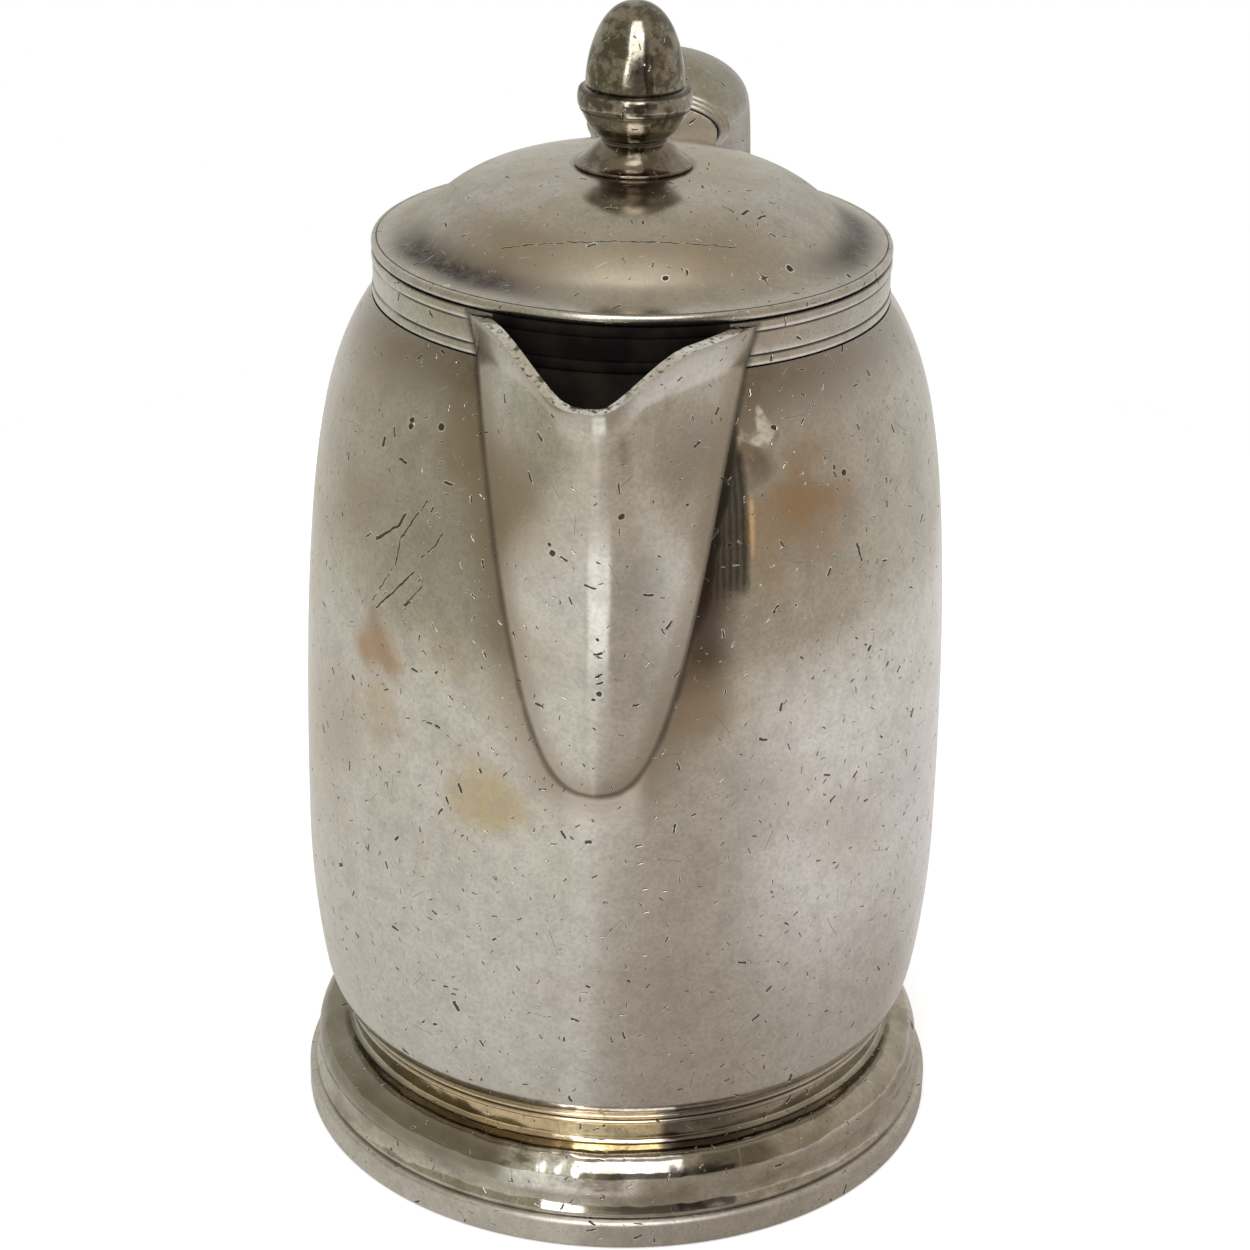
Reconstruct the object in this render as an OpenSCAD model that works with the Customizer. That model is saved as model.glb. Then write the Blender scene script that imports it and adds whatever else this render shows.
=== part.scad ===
// Silver coffee pot: a spun barrel body on a moulded foot, with an applied beak spout,
// a reeded collar, a domed lid on a knuckle hinge, an acorn finial and a hollow C handle.
// The table is z = 0, the pot's axis is Z, the spout points to -Y and the handle to +Y.

/* [Body] */
// Height of the collar's top edge, where the lid sits
seat_z = 130; // [122:1:138]
// Outer radius of the mouth and of the collar
mouth_r = 35.1; // [33:0.1:37]
// Radius of the belly at its widest
belly_r = 45.3; // [43.5:0.1:47]
// Height of the belly's widest point
belly_z = 46; // [42:1:52]
// Outer radius of the body's bottom edge
base_r = 40.6; // [39.8:0.1:41.4]
// Thickness of the body's sheet
body_wall = 1.2; // [1:0.1:1.5]
// Thickness of the bottom plate
plate_wall = 1.2; // [0.8:0.1:1.6]
// How far the middle of the bottom plate rises above its edge
plate_rise = 1.5; // [0.5:0.1:3]

/* [Collar] */
// Height of the collar
collar_h = 6.1; // [5:0.1:7]
// Thickness of the collar
collar_wall = 1.2; // [1:0.1:1.5]
// Height of each of the collar's two reeds
collar_reed_h = 1.5; // [1:0.1:2]

/* [Foot] */
// Outer radius of the wire round the foot's bottom edge
foot_r = 46.35; // [45:0.1:48]
// Height of the wire round the foot's bottom edge
foot_wire_h = 4.2; // [3.4:0.1:5]
// Width of that wire, inside to outside
foot_wire_w = 3; // [2.6:0.1:4]
// Height of the spreading band above the wire
band_h = 4; // [3.4:0.1:5]
// Height of the quarter-round moulding
ovolo_h = 4.7; // [3:0.1:5]
// Height of the foot's neck
neck_h = 3.3; // [2.5:0.1:5]
// Radius of the foot's neck
neck_r = 39.6; // [39.2:0.1:40.2]
// Height of the reeded wire between the foot and the body
reeded_wire_h = 1.8; // [1.4:0.1:2.4]
// Thickness of the foot's sheet
foot_wall = 1.1; // [0.9:0.1:1.2]

/* [Spout] */
// Height of the spout's lowest point on the body
spout_tip_z = 69.7; // [62:0.5:76]
// Width of the spout where it meets the collar
spout_w = 36.8; // [32:0.2:40]
// How far the lip reaches beyond the mouth
lip_reach = 12.9; // [10.5:0.1:15]
// Depth of the lip's dip below the collar's top edge
lip_dip = 6.9; // [5:0.1:8]
// Thickness of the spout's sheet
spout_wall = 1.2; // [0.9:0.1:1.4]
// Roundness of the spout's nose, where 0 is a sharp fold
nose_round = 0.45; // [0.25:0.05:0.8]
// Radius of each strainer hole
strainer_r = 1.6; // [1.2:0.1:1.9]
// Distance between neighbouring strainer holes
strainer_pitch = 5; // [4.6:0.1:5.4]
// Height of the lowest row of strainer holes
strainer_z = 94; // [90:1:97]

/* [Lid] */
// Running gap between the closed lid and the collar
lid_gap = 0.25; // [0.2:0.05:0.4]
// Height of the edge moulding, from the lid's underside
rim_h = 1.3; // [1.1:0.1:1.8]
// Height of the dome above the lid's flange
dome_rise = 10.4; // [8:0.1:12]
// Radius at which the dome turns into the hollow cove
dome_r = 28.5; // [26.5:0.1:29]
// Thickness of the lid's sheet
lid_wall = 1.1; // [0.9:0.1:1.3]
// How far the bezel reaches down into the collar
bezel_h = 4.4; // [3.4:0.1:5]
// Thickness of the bezel
bezel_wall = 0.8; // [0.6:0.1:1]
// Radial gap between the bezel and the collar
bezel_gap = 0.6; // [0.5:0.05:0.9]

/* [Finial] */
// Radius of the finial's spreading base
pedestal_r = 8; // [7:0.1:9]
// Height of the finial's base
pedestal_h = 3.8; // [3:0.1:5]
// Radius of the neck between the base and the acorn
finial_neck_r = 4.5; // [3.8:0.1:5]
// Radius of the acorn's cup
cup_r = 7.65; // [7:0.05:8.4]
// Height of the acorn's cup
cup_h = 7; // [6:0.1:8]
// Radius of the acorn's nut at the cup
acorn_r = 6.6; // [6:0.05:7]
// Height of the acorn's nut above the cup
acorn_h = 11; // [9:0.1:13]
// Radius of the screw that holds the finial
screw_r = 1.5; // [1.2:0.1:1.9]
// Width of the hexagon nut across its flats
nut_w = 5.5; // [5:0.1:7]
// Height of the hexagon nut
nut_h = 2.4; // [2:0.1:3]
// Radius of the washer under the dome
washer_r = 4.6; // [4:0.1:6]
// Thickness of the washer
washer_h = 0.8; // [0.5:0.1:1.2]

/* [Hinge] */
// How far the hinge axis lies behind the collar
hinge_back = 2.8; // [2.7:0.1:3.2]
// Height of the hinge axis above the collar's top edge
hinge_lift = 1.4; // [1.3:0.1:1.8]
// Radius of the knuckles
knuckle_r = 2.4; // [2.2:0.05:2.5]
// Length of each of the five knuckles
knuckle_w = 3.1; // [2.6:0.1:3.5]
// Side gap between neighbouring knuckles
knuckle_gap = 0.15; // [0.1:0.05:0.3]
// Radius of the hinge pin
pin_r = 1; // [0.8:0.1:1.2]
// Running clearance round the pin in the lid's knuckles
pin_gap = 0.05; // [0.02:0.01:0.1]

/* [Handle] */
// Half the handle's width at its widest
handle_a = 12.6; // [11.6:0.1:13.4]
// How far the handle's crown stands out of its widest line
handle_crown = 8; // [6:0.1:9]
// How far the handle's inner side stands in from its widest line
handle_belly = 5.2; // [4.4:0.1:6]
// Thickness of the handle's sheet
handle_wall = 1; // [0.8:0.1:1.4]
// Distance of the handle's widest line from the pot's axis
handle_out = 80; // [76:0.5:84]
// Height of the middle of the handle's lower socket
handle_foot_z = 50; // [44:1:58]
// Height of the middle of the upper socket above the collar
socket_lift = 4.8; // [4.6:0.1:5.6]
// Half the width of the upper socket
socket_a = 10.8; // [10.4:0.1:11.6]
// Half the height of the upper socket
socket_b = 5.7; // [5.3:0.1:6]
// Length of each reeded socket
socket_l = 3.5; // [3:0.1:4.5]
// How much the upper socket's half width and half height shrink towards the lid
socket_taper = 1.2; // [0.6:0.1:1.6]
// Half the width of the lower socket
foot_socket_a = 9.4; // [8.8:0.1:10.4]
// Half the height of the lower socket
foot_socket_b = 6.2; // [5.8:0.1:7]
// How far the bracket under the upper socket reaches below the collar's top edge
bracket_drop = 19; // [17:0.5:21]
// Half the width of the bracket's foot
bracket_root = 5; // [4:0.1:6]

/* [Hidden] */
$fn = 144;
silver = [0.74, 0.72, 0.68];
worn_silver = [0.66, 0.63, 0.57];
dark_silver = [0.55, 0.52, 0.46];

// Soldered joints on curved faces
seam_gap = 0.02;
// A tool that cuts through reaches this far past the face
past = 1;

// Heights
foot_top = foot_wire_h + band_h + ovolo_h + neck_h;
base_z = foot_top + reeded_wire_h;
collar_z = seat_z - collar_h;
lid_z = seat_z + lid_gap;
flange_z = lid_z + rim_h / 2;
dome_z = flange_z + dome_rise;
acorn_z = dome_z + pedestal_h;

// ---- Small functions for outlines ----

// A half-round reed on an upright wall, from z0 to z1
function reed(r, z0, z1, swell, n = 8) =
    [for (i = [0:n]) [r + swell * sin(180 * i / n), z0 + (z1 - z0) * (1 - cos(180 * i / n)) / 2]];

// A point on a cubic curve through the four control points of p
function cubic(p, t) = pow(1 - t, 3) * p[0] + 3 * t * pow(1 - t, 2) * p[1]
                       + 3 * t * t * (1 - t) * p[2] + pow(t, 3) * p[3];
function cubic_line(p, n) = [for (i = [0:n]) cubic(p, i / n)];

// Runs smoothly from 0 to 1 as t does
function ease(t) = let (c = min(1, max(0, t))) c * c * (3 - 2 * c);

// The same list, backwards
function reversed(list) = [for (i = [len(list) - 1:-1:0]) list[i]];

// The four-sided faces between ring j and ring k of n points each, as pairs of triangles
function side_faces(n, j, k) =
    [for (i = [0:n - 1]) let (m = (i + 1) % n)
     each [[j * n + i, k * n + i, k * n + m], [j * n + i, k * n + m, j * n + m]]];

// A solid through a row of rings that all have as many points, with a flat cap at each end
module skin(rings) {
    n = len(rings[0]);
    last = len(rings) - 1;
    sides = [for (j = [0:last - 1]) each side_faces(n, j, j + 1)];
    first_cap = [for (i = [0:n - 1]) i];
    last_cap = [for (i = [n - 1:-1:0]) last * n + i];
    polyhedron(points = [for (ring = rings) each ring], faces = concat(sides, [first_cap, last_cap]));
}

// The same for a thin section that runs out along one face and back along the other
module wall_skin(rings) {
    n = len(rings[0]);
    last = len(rings) - 1;
    sides = [for (j = [0:last - 1]) each side_faces(n, j, j + 1)];
    first_cap = [for (i = [0:n / 2 - 2]) each [[i, i + 1, n - 2 - i], [i, n - 2 - i, n - 1 - i]]];
    last_cap = [for (face = first_cap) [for (i = [2:-1:0]) last * n + face[i]]];
    polyhedron(points = [for (ring = rings) each ring], faces = concat(sides, first_cap, last_cap));
}

// A solid whose last ring joins its first
module round_skin(rings) {
    n = len(rings[0]);
    count = len(rings);
    polyhedron(points = [for (ring = rings) each ring],
               faces = [for (j = [0:count - 1]) each side_faces(n, j, (j + 1) % count)]);
}

module ring(r_in, r_out, z0, z1) {
    rotate_extrude()
        polygon([[r_in, z0], [r_out, z0], [r_out, z1], [r_in, z1]]);
}

// ---- Body ----

// Share of the shoulder's whole draw-in at t, which runs from 0 at the belly to 1 at the collar
function shoulder(t) = 0.52 * pow(t, 2.5) + 0.48 * pow(t, 9);
// Share of the lower body's whole draw-in at t, which runs from 0 at the belly to 1 at the foot
function skirt(t) = 0.62 * pow(t, 2) + 0.38 * pow(t, 16);
// Outer radius of the body at height z
function body_r(z) =
    z >= collar_z ? mouth_r
    : z >= belly_z ? belly_r - (belly_r - mouth_r) * shoulder((z - belly_z) / (collar_z - belly_z))
    : belly_r - (belly_r - base_r) * skirt((belly_z - max(z, base_z)) / (belly_z - base_z));

skirt_steps = 12;
shoulder_steps = 26;
// Heights of the outline's points, closer together where the outline bends
skirt_heights = [for (i = [0:skirt_steps - 1]) base_z + (belly_z - base_z) * pow(i / skirt_steps, 1.6)];
shoulder_heights = [for (i = [0:shoulder_steps])
                    collar_z - (collar_z - belly_z) * pow(1 - i / shoulder_steps, 1.5)];
body_heights = concat(skirt_heights, shoulder_heights);

// The outside of the body and of the plain collar as one solid, to seat what is soldered on
module pot_outside(gap) {
    outline = [for (z = body_heights) [body_r(z) + gap, z]];
    rotate_extrude()
        polygon(concat([[0, base_z]], outline, [[mouth_r + gap, seat_z], [0, seat_z]]));
}

module barrel() {
    outer = [for (z = body_heights) [body_r(z), z]];
    inner = [for (z = reversed(body_heights)) [body_r(z) - body_wall, z]];
    color(silver)
        difference() {
            rotate_extrude()
                polygon(concat(outer, inner));
            strainer_holes();
        }
}

// Rows of three and four holes through the wall behind the spout
strainer_rows = 5;
module strainer_holes() {
    for (row = [0:strainer_rows - 1]) {
        count = 3 + row % 2;
        z = strainer_z + row * strainer_pitch * sin(60);
        for (i = [0:count - 1])
            translate([(i - (count - 1) / 2) * strainer_pitch, -mouth_r / 2, z])
                rotate([90, 0, 0])
                    cylinder(r = strainer_r, h = belly_r, $fn = 32);
    }
}

module base_plate() {
    r = base_r - body_wall - 0.05;
    flat = 0.8 * r;
    lower = [for (i = [0:12]) [flat * i / 12, base_z + plate_rise * (1 - ease(i / 12))]];
    upper = [for (p = reversed(lower)) [p[0], p[1] + plate_wall]];
    color(worn_silver)
        rotate_extrude()
            polygon(concat(lower, [[r, base_z], [r, base_z + plate_wall]], upper));
}

module collar() {
    r = mouth_r - 0.3;
    bottom_reed = reed(r, collar_z, collar_z + collar_reed_h, 0.3);
    top_reed = reed(r, seat_z - collar_reed_h, seat_z, 0.3);
    band = [[r + 0.12, collar_z + collar_reed_h + 0.2], [r + 0.12, seat_z - collar_reed_h - 0.2]];
    bore_r = mouth_r - collar_wall;
    color(silver)
        rotate_extrude()
            polygon(concat(bottom_reed, band, top_reed, [[bore_r, seat_z], [bore_r, collar_z]]));
}

// ---- Foot ----

band_r = foot_r - 1;
ovolo_r = band_r - 0.5;
// Radius of the hollow corner between the foot's quarter-round and its neck
neck_fillet = 0.3;
// Shape of the quarter-round: 1 is a true quarter of an oval, and less is fuller
roll_power = 0.85;
module foot() {
    band_top = foot_wire_h + band_h;
    ovolo_top = band_top + ovolo_h;
    cyma = cubic_line([[band_r, foot_wire_h + 0.7], [band_r - 0.5, foot_wire_h + 1.7],
                       [ovolo_r - 0.25, band_top - 1.6], [ovolo_r - 0.1, band_top - 0.2]], 8);
    roll_r = neck_r + neck_fillet;
    ovolo = [for (i = [0:10]) [roll_r + (ovolo_r - roll_r) * pow(cos(9 * i), roll_power),
                               band_top + ovolo_h * pow(sin(9 * i), roll_power)]];
    root = [for (i = [1:4])
            [roll_r - neck_fillet * sin(22.5 * i), ovolo_top + neck_fillet * (1 - cos(22.5 * i))]];
    outer = concat([[band_r - 0.3, foot_wire_h], [band_r, foot_wire_h + 0.3]], cyma, ovolo, root,
                   [[neck_r, foot_top]]);
    inner = [for (p = reversed(outer))
             [p[0] - foot_wall, p[1] > ovolo_top ? p[1] : max(foot_wire_h, p[1] - foot_wall)]];
    color(silver)
        rotate_extrude()
            polygon(concat(outer, inner));
}

module foot_wire() {
    soft = 0.8;
    top_edge = [for (i = [0:6])
                [foot_r - soft + soft * cos(15 * i), foot_wire_h - soft + soft * sin(15 * i)]];
    bottom_edge = [for (i = [0:4]) [foot_r - 0.4 + 0.4 * sin(22.5 * i), 0.4 - 0.4 * cos(22.5 * i)]];
    r_in = foot_r - foot_wire_w;
    color(worn_silver)
        rotate_extrude()
            polygon(concat([[r_in, 0]], bottom_edge, top_edge, [[r_in, foot_wire_h]]));
}

module reeded_wire() {
    middle = (foot_top + base_z) / 2;
    r = base_r - 0.35;
    color(silver)
        rotate_extrude()
            polygon(concat([[neck_r - foot_wall, foot_top]], reed(r - 0.2, foot_top, middle, 0.55, 8),
                           reed(r - 0.2, middle, base_z, 0.55, 8), [[neck_r - foot_wall, base_z]]));
}

// ---- Spout ----

// How far the spout's sheet stands off the body at its lowest point
spout_proud = 0.4;
lip_z = seat_z - lip_dip;
// Half the width of the spout's print on the body at height z
function spout_half(z) =
    let (t = (z - spout_tip_z) / (seat_z - spout_tip_z))
    spout_w / 2 * (0.92 * pow(t, 0.36) + 0.08 * pow(t, 6));
// Distance of the nose from the axis at height z
function nose_y(z) =
    let (start = body_r(spout_tip_z) + spout_proud)
    start + (z - spout_tip_z) * (mouth_r + lip_reach - start) / (lip_z - spout_tip_z);
// How far back the curve of the nose lies at x, with depth d at half width w
function nose_back(x, w, d) =
    let (c = nose_round * d, m = d * sqrt(1 + 2 * nose_round) / w) sqrt(c * c + m * m * x * x) - c;

// One level section of the spout, set in by a wall along its own normals, closed behind the body's surface
spout_sides = 26;
function spout_ring(z, wall, lift) =
    let (w = spout_half(z),
         d = nose_y(z) - sqrt(pow(body_r(z), 2) - w * w),
         reach = w * 1.04,
         c = nose_round * d,
         m = d * sqrt(1 + 2 * nose_round) / w,
         front = [for (i = [0:spout_sides])
                  let (x = reach * (2 * i / spout_sides - 1),
                       slope = m * m * x / sqrt(c * c + m * m * x * x),
                       n = sqrt(1 + slope * slope))
                  [x - wall * slope / n, -(nose_y(z) - nose_back(x, w, d)) + wall / n, z + lift]],
         back_y = -mouth_r * 0.72)
    concat(front, [[reach - wall, back_y, z + lift], [wall - reach, back_y, z + lift]]);

spout_levels = 30;
// Heights of the sections, closer together near the spout's tip
function spout_level(i) = spout_tip_z + 0.15 + (seat_z - spout_tip_z - 0.15) * pow(i / spout_levels, 1.7);
module spout_shell(wall, first, lift) {
    skin([for (i = [first:spout_levels])
          spout_ring(spout_level(i), wall, i == spout_levels ? lift : 0)]);
}

// Height of the lip's edge at x
function lip_height(x) = lip_z + (lip_dip - 0.3) * ease(pow(abs(x) / (0.45 * spout_w), 1.2));
module lip_cut() {
    w = spout_w / 2 + past;
    edge = [for (i = [-24:24]) [w * i / 24, lip_height(w * i / 24)]];
    translate([0, -mouth_r / 2, 0])
        rotate([90, 0, 0])
            linear_extrude(height = mouth_r + lip_reach)
                polygon(concat(edge, [[w, seat_z + 3 * past], [-w, seat_z + 3 * past]]));
}

module spout() {
    color(silver)
        difference() {
            spout_shell(0, 0, 0);
            spout_shell(spout_wall, 6, past);
            pot_outside(seam_gap);
            lip_cut();
        }
}

// ---- Hinge ----

hinge_y = mouth_r + hinge_back;
hinge_z = seat_z + hinge_lift;
hinge_w = 5 * knuckle_w + 4 * knuckle_gap;
pocket_gap = 0.8;
pocket_floor = hinge_z - knuckle_r - pocket_gap;
bracket_y = hinge_y + knuckle_r + pocket_gap + 0.1;

function knuckle_x(i) = -hinge_w / 2 + i * (knuckle_w + knuckle_gap);

// An outline in the YZ plane, as thick as w from x to the right
module across(x, w) {
    translate([x, 0, 0])
        rotate([90, 0, 90])
            linear_extrude(height = w)
                children();
}

// The first, third and fifth knuckles, soldered into the bracket's pocket
module hinge_knuckles() {
    color(worn_silver)
        for (i = [0, 2, 4])
            difference() {
                across(knuckle_x(i), knuckle_w)
                    union() {
                        translate([hinge_y, hinge_z])
                            circle(r = knuckle_r, $fn = 48);
                        translate([hinge_y - knuckle_r / 2, pocket_floor])
                            square([bracket_y - hinge_y + knuckle_r / 2, hinge_z - pocket_floor]);
                        translate([hinge_y, pocket_floor])
                            square([bracket_y - hinge_y, hinge_z + knuckle_r / 2 - pocket_floor]);
                    }
                across(knuckle_x(i) - past, knuckle_w + 2 * past)
                    translate([hinge_y, hinge_z])
                        circle(r = pin_r + seam_gap / 2, $fn = 48);
            }
}

module hinge_pin() {
    half = hinge_w / 2 + 0.5;
    color(dark_silver)
        translate([0, hinge_y, hinge_z])
            rotate([0, 90, 0])
                rotate_extrude($fn = 48)
                    polygon([[0, -half], [pin_r * 0.6, -half], [pin_r, -half + 0.3],
                             [pin_r, half - 0.3], [pin_r * 0.6, half], [0, half]]);
}

// ---- Lid ----

flange_r = mouth_r - 0.8;
bezel_r = mouth_r - collar_wall - bezel_gap;
cove_drop = dome_rise - 2.9;
// Outer outline of the lid's sheet, from the middle out: a dome, a hollow cove and a nearly flat flange
dome_line = [for (i = [0:18]) let (r = dome_r * i / 18) [r, dome_z - cove_drop * pow(i / 18, 4.15)]];
cove_line = cubic_line([[dome_r, dome_z - cove_drop], [dome_r + 1.1, dome_z - cove_drop - 1.1],
                        [dome_r + 2.2, flange_z + 1.25], [flange_r, flange_z + 0.7]], 8);
lid_line = concat(dome_line, [for (i = [1:8]) cove_line[i]]);

// Everything below the lid's outer outline, to seat what stands on it
module lid_outside(gap) {
    top = [for (p = lid_line) [p[0], p[1] + gap]];
    rotate_extrude()
        polygon(concat([[0, lid_z - bezel_h]], top,
                       [[mouth_r + gap, lid_z + rim_h + gap], [mouth_r + gap, lid_z - bezel_h]]));
}

module lid_dome() {
    inner = [for (p = reversed(lid_line)) if (p[0] <= dome_r + 1) [p[0], p[1] - lid_wall]];
    underside = [[flange_r, flange_z], [bezel_r - bezel_wall - 0.3, flange_z]];
    color(silver)
        difference() {
            rotate_extrude()
                polygon(concat(lid_line, underside, inner));
            translate([0, 0, dome_z - lid_wall - past])
                cylinder(r = screw_r + 0.1, h = lid_wall + 2 * past, $fn = 48);
        }
}

// The moulding soldered round the lid's edge, with a rebate that takes the flange
module lid_rim() {
    bead = reed(mouth_r - 0.35, lid_z, lid_z + rim_h, 0.35, 10);
    color(silver)
        rotate_extrude()
            polygon(concat([[bezel_r, lid_z]], bead, [[flange_r + 0.02, lid_z + rim_h],
                                                       [flange_r + 0.02, flange_z], [bezel_r, flange_z]]));
}

module lid_bezel() {
    color(worn_silver)
        ring(bezel_r - bezel_wall, bezel_r, lid_z - bezel_h, flange_z);
}

// The second and fourth knuckles, with the strap that is soldered over the lid's edge
module lid_hinge_leaf() {
    strap_front = mouth_r - 4;
    strap_h = 1.7;
    color(silver)
        difference() {
            union() {
                for (i = [1, 3])
                    across(knuckle_x(i), knuckle_w)
                        union() {
                            translate([hinge_y, hinge_z])
                                circle(r = knuckle_r, $fn = 48);
                            translate([mouth_r - past, lid_z])
                                square([hinge_back + past, hinge_lift + strap_h - lid_gap]);
                        }
                across(knuckle_x(1), knuckle_x(3) + knuckle_w - knuckle_x(1))
                    polygon([[mouth_r + 0.25, lid_z], [mouth_r + 0.25, hinge_z + strap_h],
                             [strap_front + 0.9, hinge_z + strap_h], [strap_front, hinge_z + strap_h - 0.5],
                             [strap_front, lid_z]]);
            }
            lid_outside(seam_gap);
            across(-hinge_w, 2 * hinge_w)
                translate([hinge_y, hinge_z])
                    circle(r = pin_r + pin_gap, $fn = 48);
        }
}

// ---- Finial ----

module finial_pedestal() {
    edge = 0.5;
    flare = cubic_line([[pedestal_r - 0.2, dome_z + edge], [pedestal_r - 1.6, dome_z + edge + 0.5],
                        [finial_neck_r + 1.2, acorn_z - 1.4], [finial_neck_r, acorn_z - 0.5]], 10);
    color(silver)
        difference() {
            rotate_extrude()
                polygon(concat([[0, dome_z], [pedestal_r - 0.15, dome_z], [pedestal_r, dome_z + 0.15],
                                [pedestal_r, dome_z + edge - 0.15]], flare,
                               [[finial_neck_r, acorn_z], [0, acorn_z]]));
            translate([0, 0, dome_z - past])
                cylinder(r = screw_r + 0.05, h = pedestal_h + 2 * past, $fn = 48);
        }
}

// Cup and nut are turned in one piece, with a groove between them
module acorn() {
    rim_z = acorn_z + 0.72 * cup_h;
    joint_z = acorn_z + cup_h;
    bowl = cubic_line([[finial_neck_r, acorn_z], [finial_neck_r + 1.7, acorn_z + 1.1],
                       [cup_r - 1, rim_z - 2.2], [cup_r - 0.3, rim_z - 1.2]], 8);
    rim = reed(cup_r - 0.35, rim_z - 1, rim_z + 1.5, 0.35, 8);
    top_z = joint_z + acorn_h;
    nut = [for (i = [0:18]) let (a = 5 * i)
           [acorn_r * pow(cos(a), 0.85), joint_z + acorn_h * pow(sin(a), 1.1)]];
    color(silver)
        difference() {
            rotate_extrude()
                polygon(concat([[0, acorn_z]], bowl, rim, [[acorn_r - 0.15, joint_z - 0.15]],
                               [for (p = nut) if (p[0] > 0.2) p], [[0, top_z]]));
            translate([0, 0, acorn_z - past])
                cylinder(r = screw_r + seam_gap, h = 0.7 * cup_h + past, $fn = 48);
        }
}

// The washer's top face, which just clears the dome's hollow underside
washer_top = dome_z - lid_wall - seam_gap;
nut_z = washer_top - washer_h - nut_h;
module finial_screw() {
    bottom = nut_z - 0.8;
    top = acorn_z + 0.7 * cup_h - 0.4;
    color(dark_silver)
        rotate_extrude($fn = 48)
            polygon([[0, bottom], [screw_r - 0.3, bottom], [screw_r, bottom + 0.3],
                     [screw_r, top - 0.3], [screw_r - 0.3, top], [0, top]]);
}

module finial_washer() {
    color(dark_silver)
        ring(screw_r + 0.1, washer_r, washer_top - washer_h, washer_top);
}

module finial_nut() {
    color(dark_silver)
        translate([0, 0, nut_z])
            difference() {
                cylinder(r = nut_w / 2 / cos(30), h = nut_h, $fn = 6);
                translate([0, 0, -past])
                    cylinder(r = screw_r + seam_gap, h = nut_h + 2 * past, $fn = 48);
            }
}

// ---- Handle ----

socket_z = seat_z + socket_lift;
socket_y = bracket_y + 0.8;
handle_y = socket_y + socket_l;
foot_socket_y = body_r(handle_foot_z);
handle_end_y = foot_socket_y + socket_l - 0.3;

// The middle of the handle's widest line, as three cubic curves in the YZ plane
path_top = [[handle_y, socket_z], [handle_y + 5.5, socket_z + 2.8],
            [handle_out - 18, socket_z + 1.6], [handle_out - 10, socket_z - 6.3]];
path_side = [path_top[3], path_top[3] + [7, -6.9], [handle_out, socket_z - 22.8],
             [handle_out - 1, socket_z - 35.8]];
path_foot = [path_side[3], path_side[3] + [-1.5, -19.5], [handle_out - 12, handle_foot_z],
             [handle_end_y, handle_foot_z]];
path_steps = 12;
path = concat(cubic_line(path_top, path_steps), [for (i = [1:path_steps]) cubic(path_side, i / path_steps)],
              [for (i = [1:path_steps]) cubic(path_foot, i / path_steps)]);
path_last = len(path) - 1;

// Direction of the path at point i, in degrees; both ends are level, to meet their sockets squarely
function path_angle(i) =
    let (d = path[min(i + 1, path_last)] - path[max(i - 1, 0)], turn = atan2(d[1], d[0]))
    i == path_last ? -180 : turn * min(1, i / 5);
// Sizes of the section at point i: half width, crown and belly
function swell(i, first, full, last) =
    let (t = i / path_last) (first + (full - first) * ease(t / 0.14)) * (1 - ease((t - 0.5) / 0.5))
    + last * ease((t - 0.5) / 0.5);

section_steps = 12;
// Right half of the hollow section at point i: outer arc, then inner arc back
function handle_ring(i) =
    let (a = swell(i, socket_a - 0.4, handle_a, foot_socket_a - 0.5),
         crown = swell(i, socket_b - 0.4, handle_crown, foot_socket_b - 0.5),
         belly = swell(i, socket_b - 0.4, handle_belly, foot_socket_b - 0.5),
         turn = path_angle(i),
         outer = [for (k = [0:section_steps]) let (f = 180 * k / section_steps - 90)
                  [a * cos(f), (f > 0 ? crown : belly) * sin(f)]],
         inner = [for (k = [section_steps:-1:0]) let (f = 180 * k / section_steps - 90)
                  [(a - handle_wall) * cos(f), ((f > 0 ? crown : belly) - handle_wall) * sin(f)]])
    [for (p = concat(outer, inner)) [p[0], path[i][0] - p[1] * sin(turn), path[i][1] + p[1] * cos(turn)]];

module handle_half() {
    wall_skin([for (i = [0:path_last]) handle_ring(i)]);
}

module handle_right() {
    color(silver)
        handle_half();
}

module handle_left() {
    color(silver)
        mirror([1, 0, 0])
            handle_half();
}

// An oval of half width a and half height b at distance y from the axis, centred at height z
oval_steps = 40;
function oval_point(a, b, y, z, turn) = [a * cos(turn), y, z + b * sin(turn)];
function oval(a, b, y, z) = [for (i = [0:oval_steps - 1]) oval_point(a, b, y, z, 360 * i / oval_steps)];

// Depth of a sleeve's three reeds at t, which runs from 0 to 1 along it
reed_depth = 0.45;
reed_steps = 5;
function reed_cut(t) = reed_depth * (1 - abs(sin(3 * 180 * t)));

// An open oval sleeve with three reeds round it
module upper_socket() {
    sleeve = 1.8;
    last = 3 * reed_steps;
    color(silver)
        round_skin([for (i = [oval_steps - 1:-1:0])
            let (turn = 360 * i / oval_steps,
                 a = socket_a - sleeve,
                 b = socket_b - sleeve)
            concat([for (j = [0:last]) let (s = reed_cut(j / last) + socket_taper * (1 - j / last))
                    oval_point(socket_a - s, socket_b - s, socket_y + socket_l * j / last, socket_z, turn)],
                   [oval_point(a, b, handle_y, socket_z, turn),
                    oval_point(a - socket_taper, b - socket_taper, socket_y, socket_z, turn)])]);
}

module lower_socket() {
    front_y = foot_socket_y - 1.6;
    last = 3 * reed_steps;
    color(silver)
        difference() {
            skin([for (j = [0:last]) let (s = reed_cut(j / last))
                  oval(foot_socket_a - s, foot_socket_b - s, front_y + (handle_end_y - front_y) * j / last,
                       handle_foot_z)]);
            pot_outside(seam_gap);
        }
}

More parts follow.
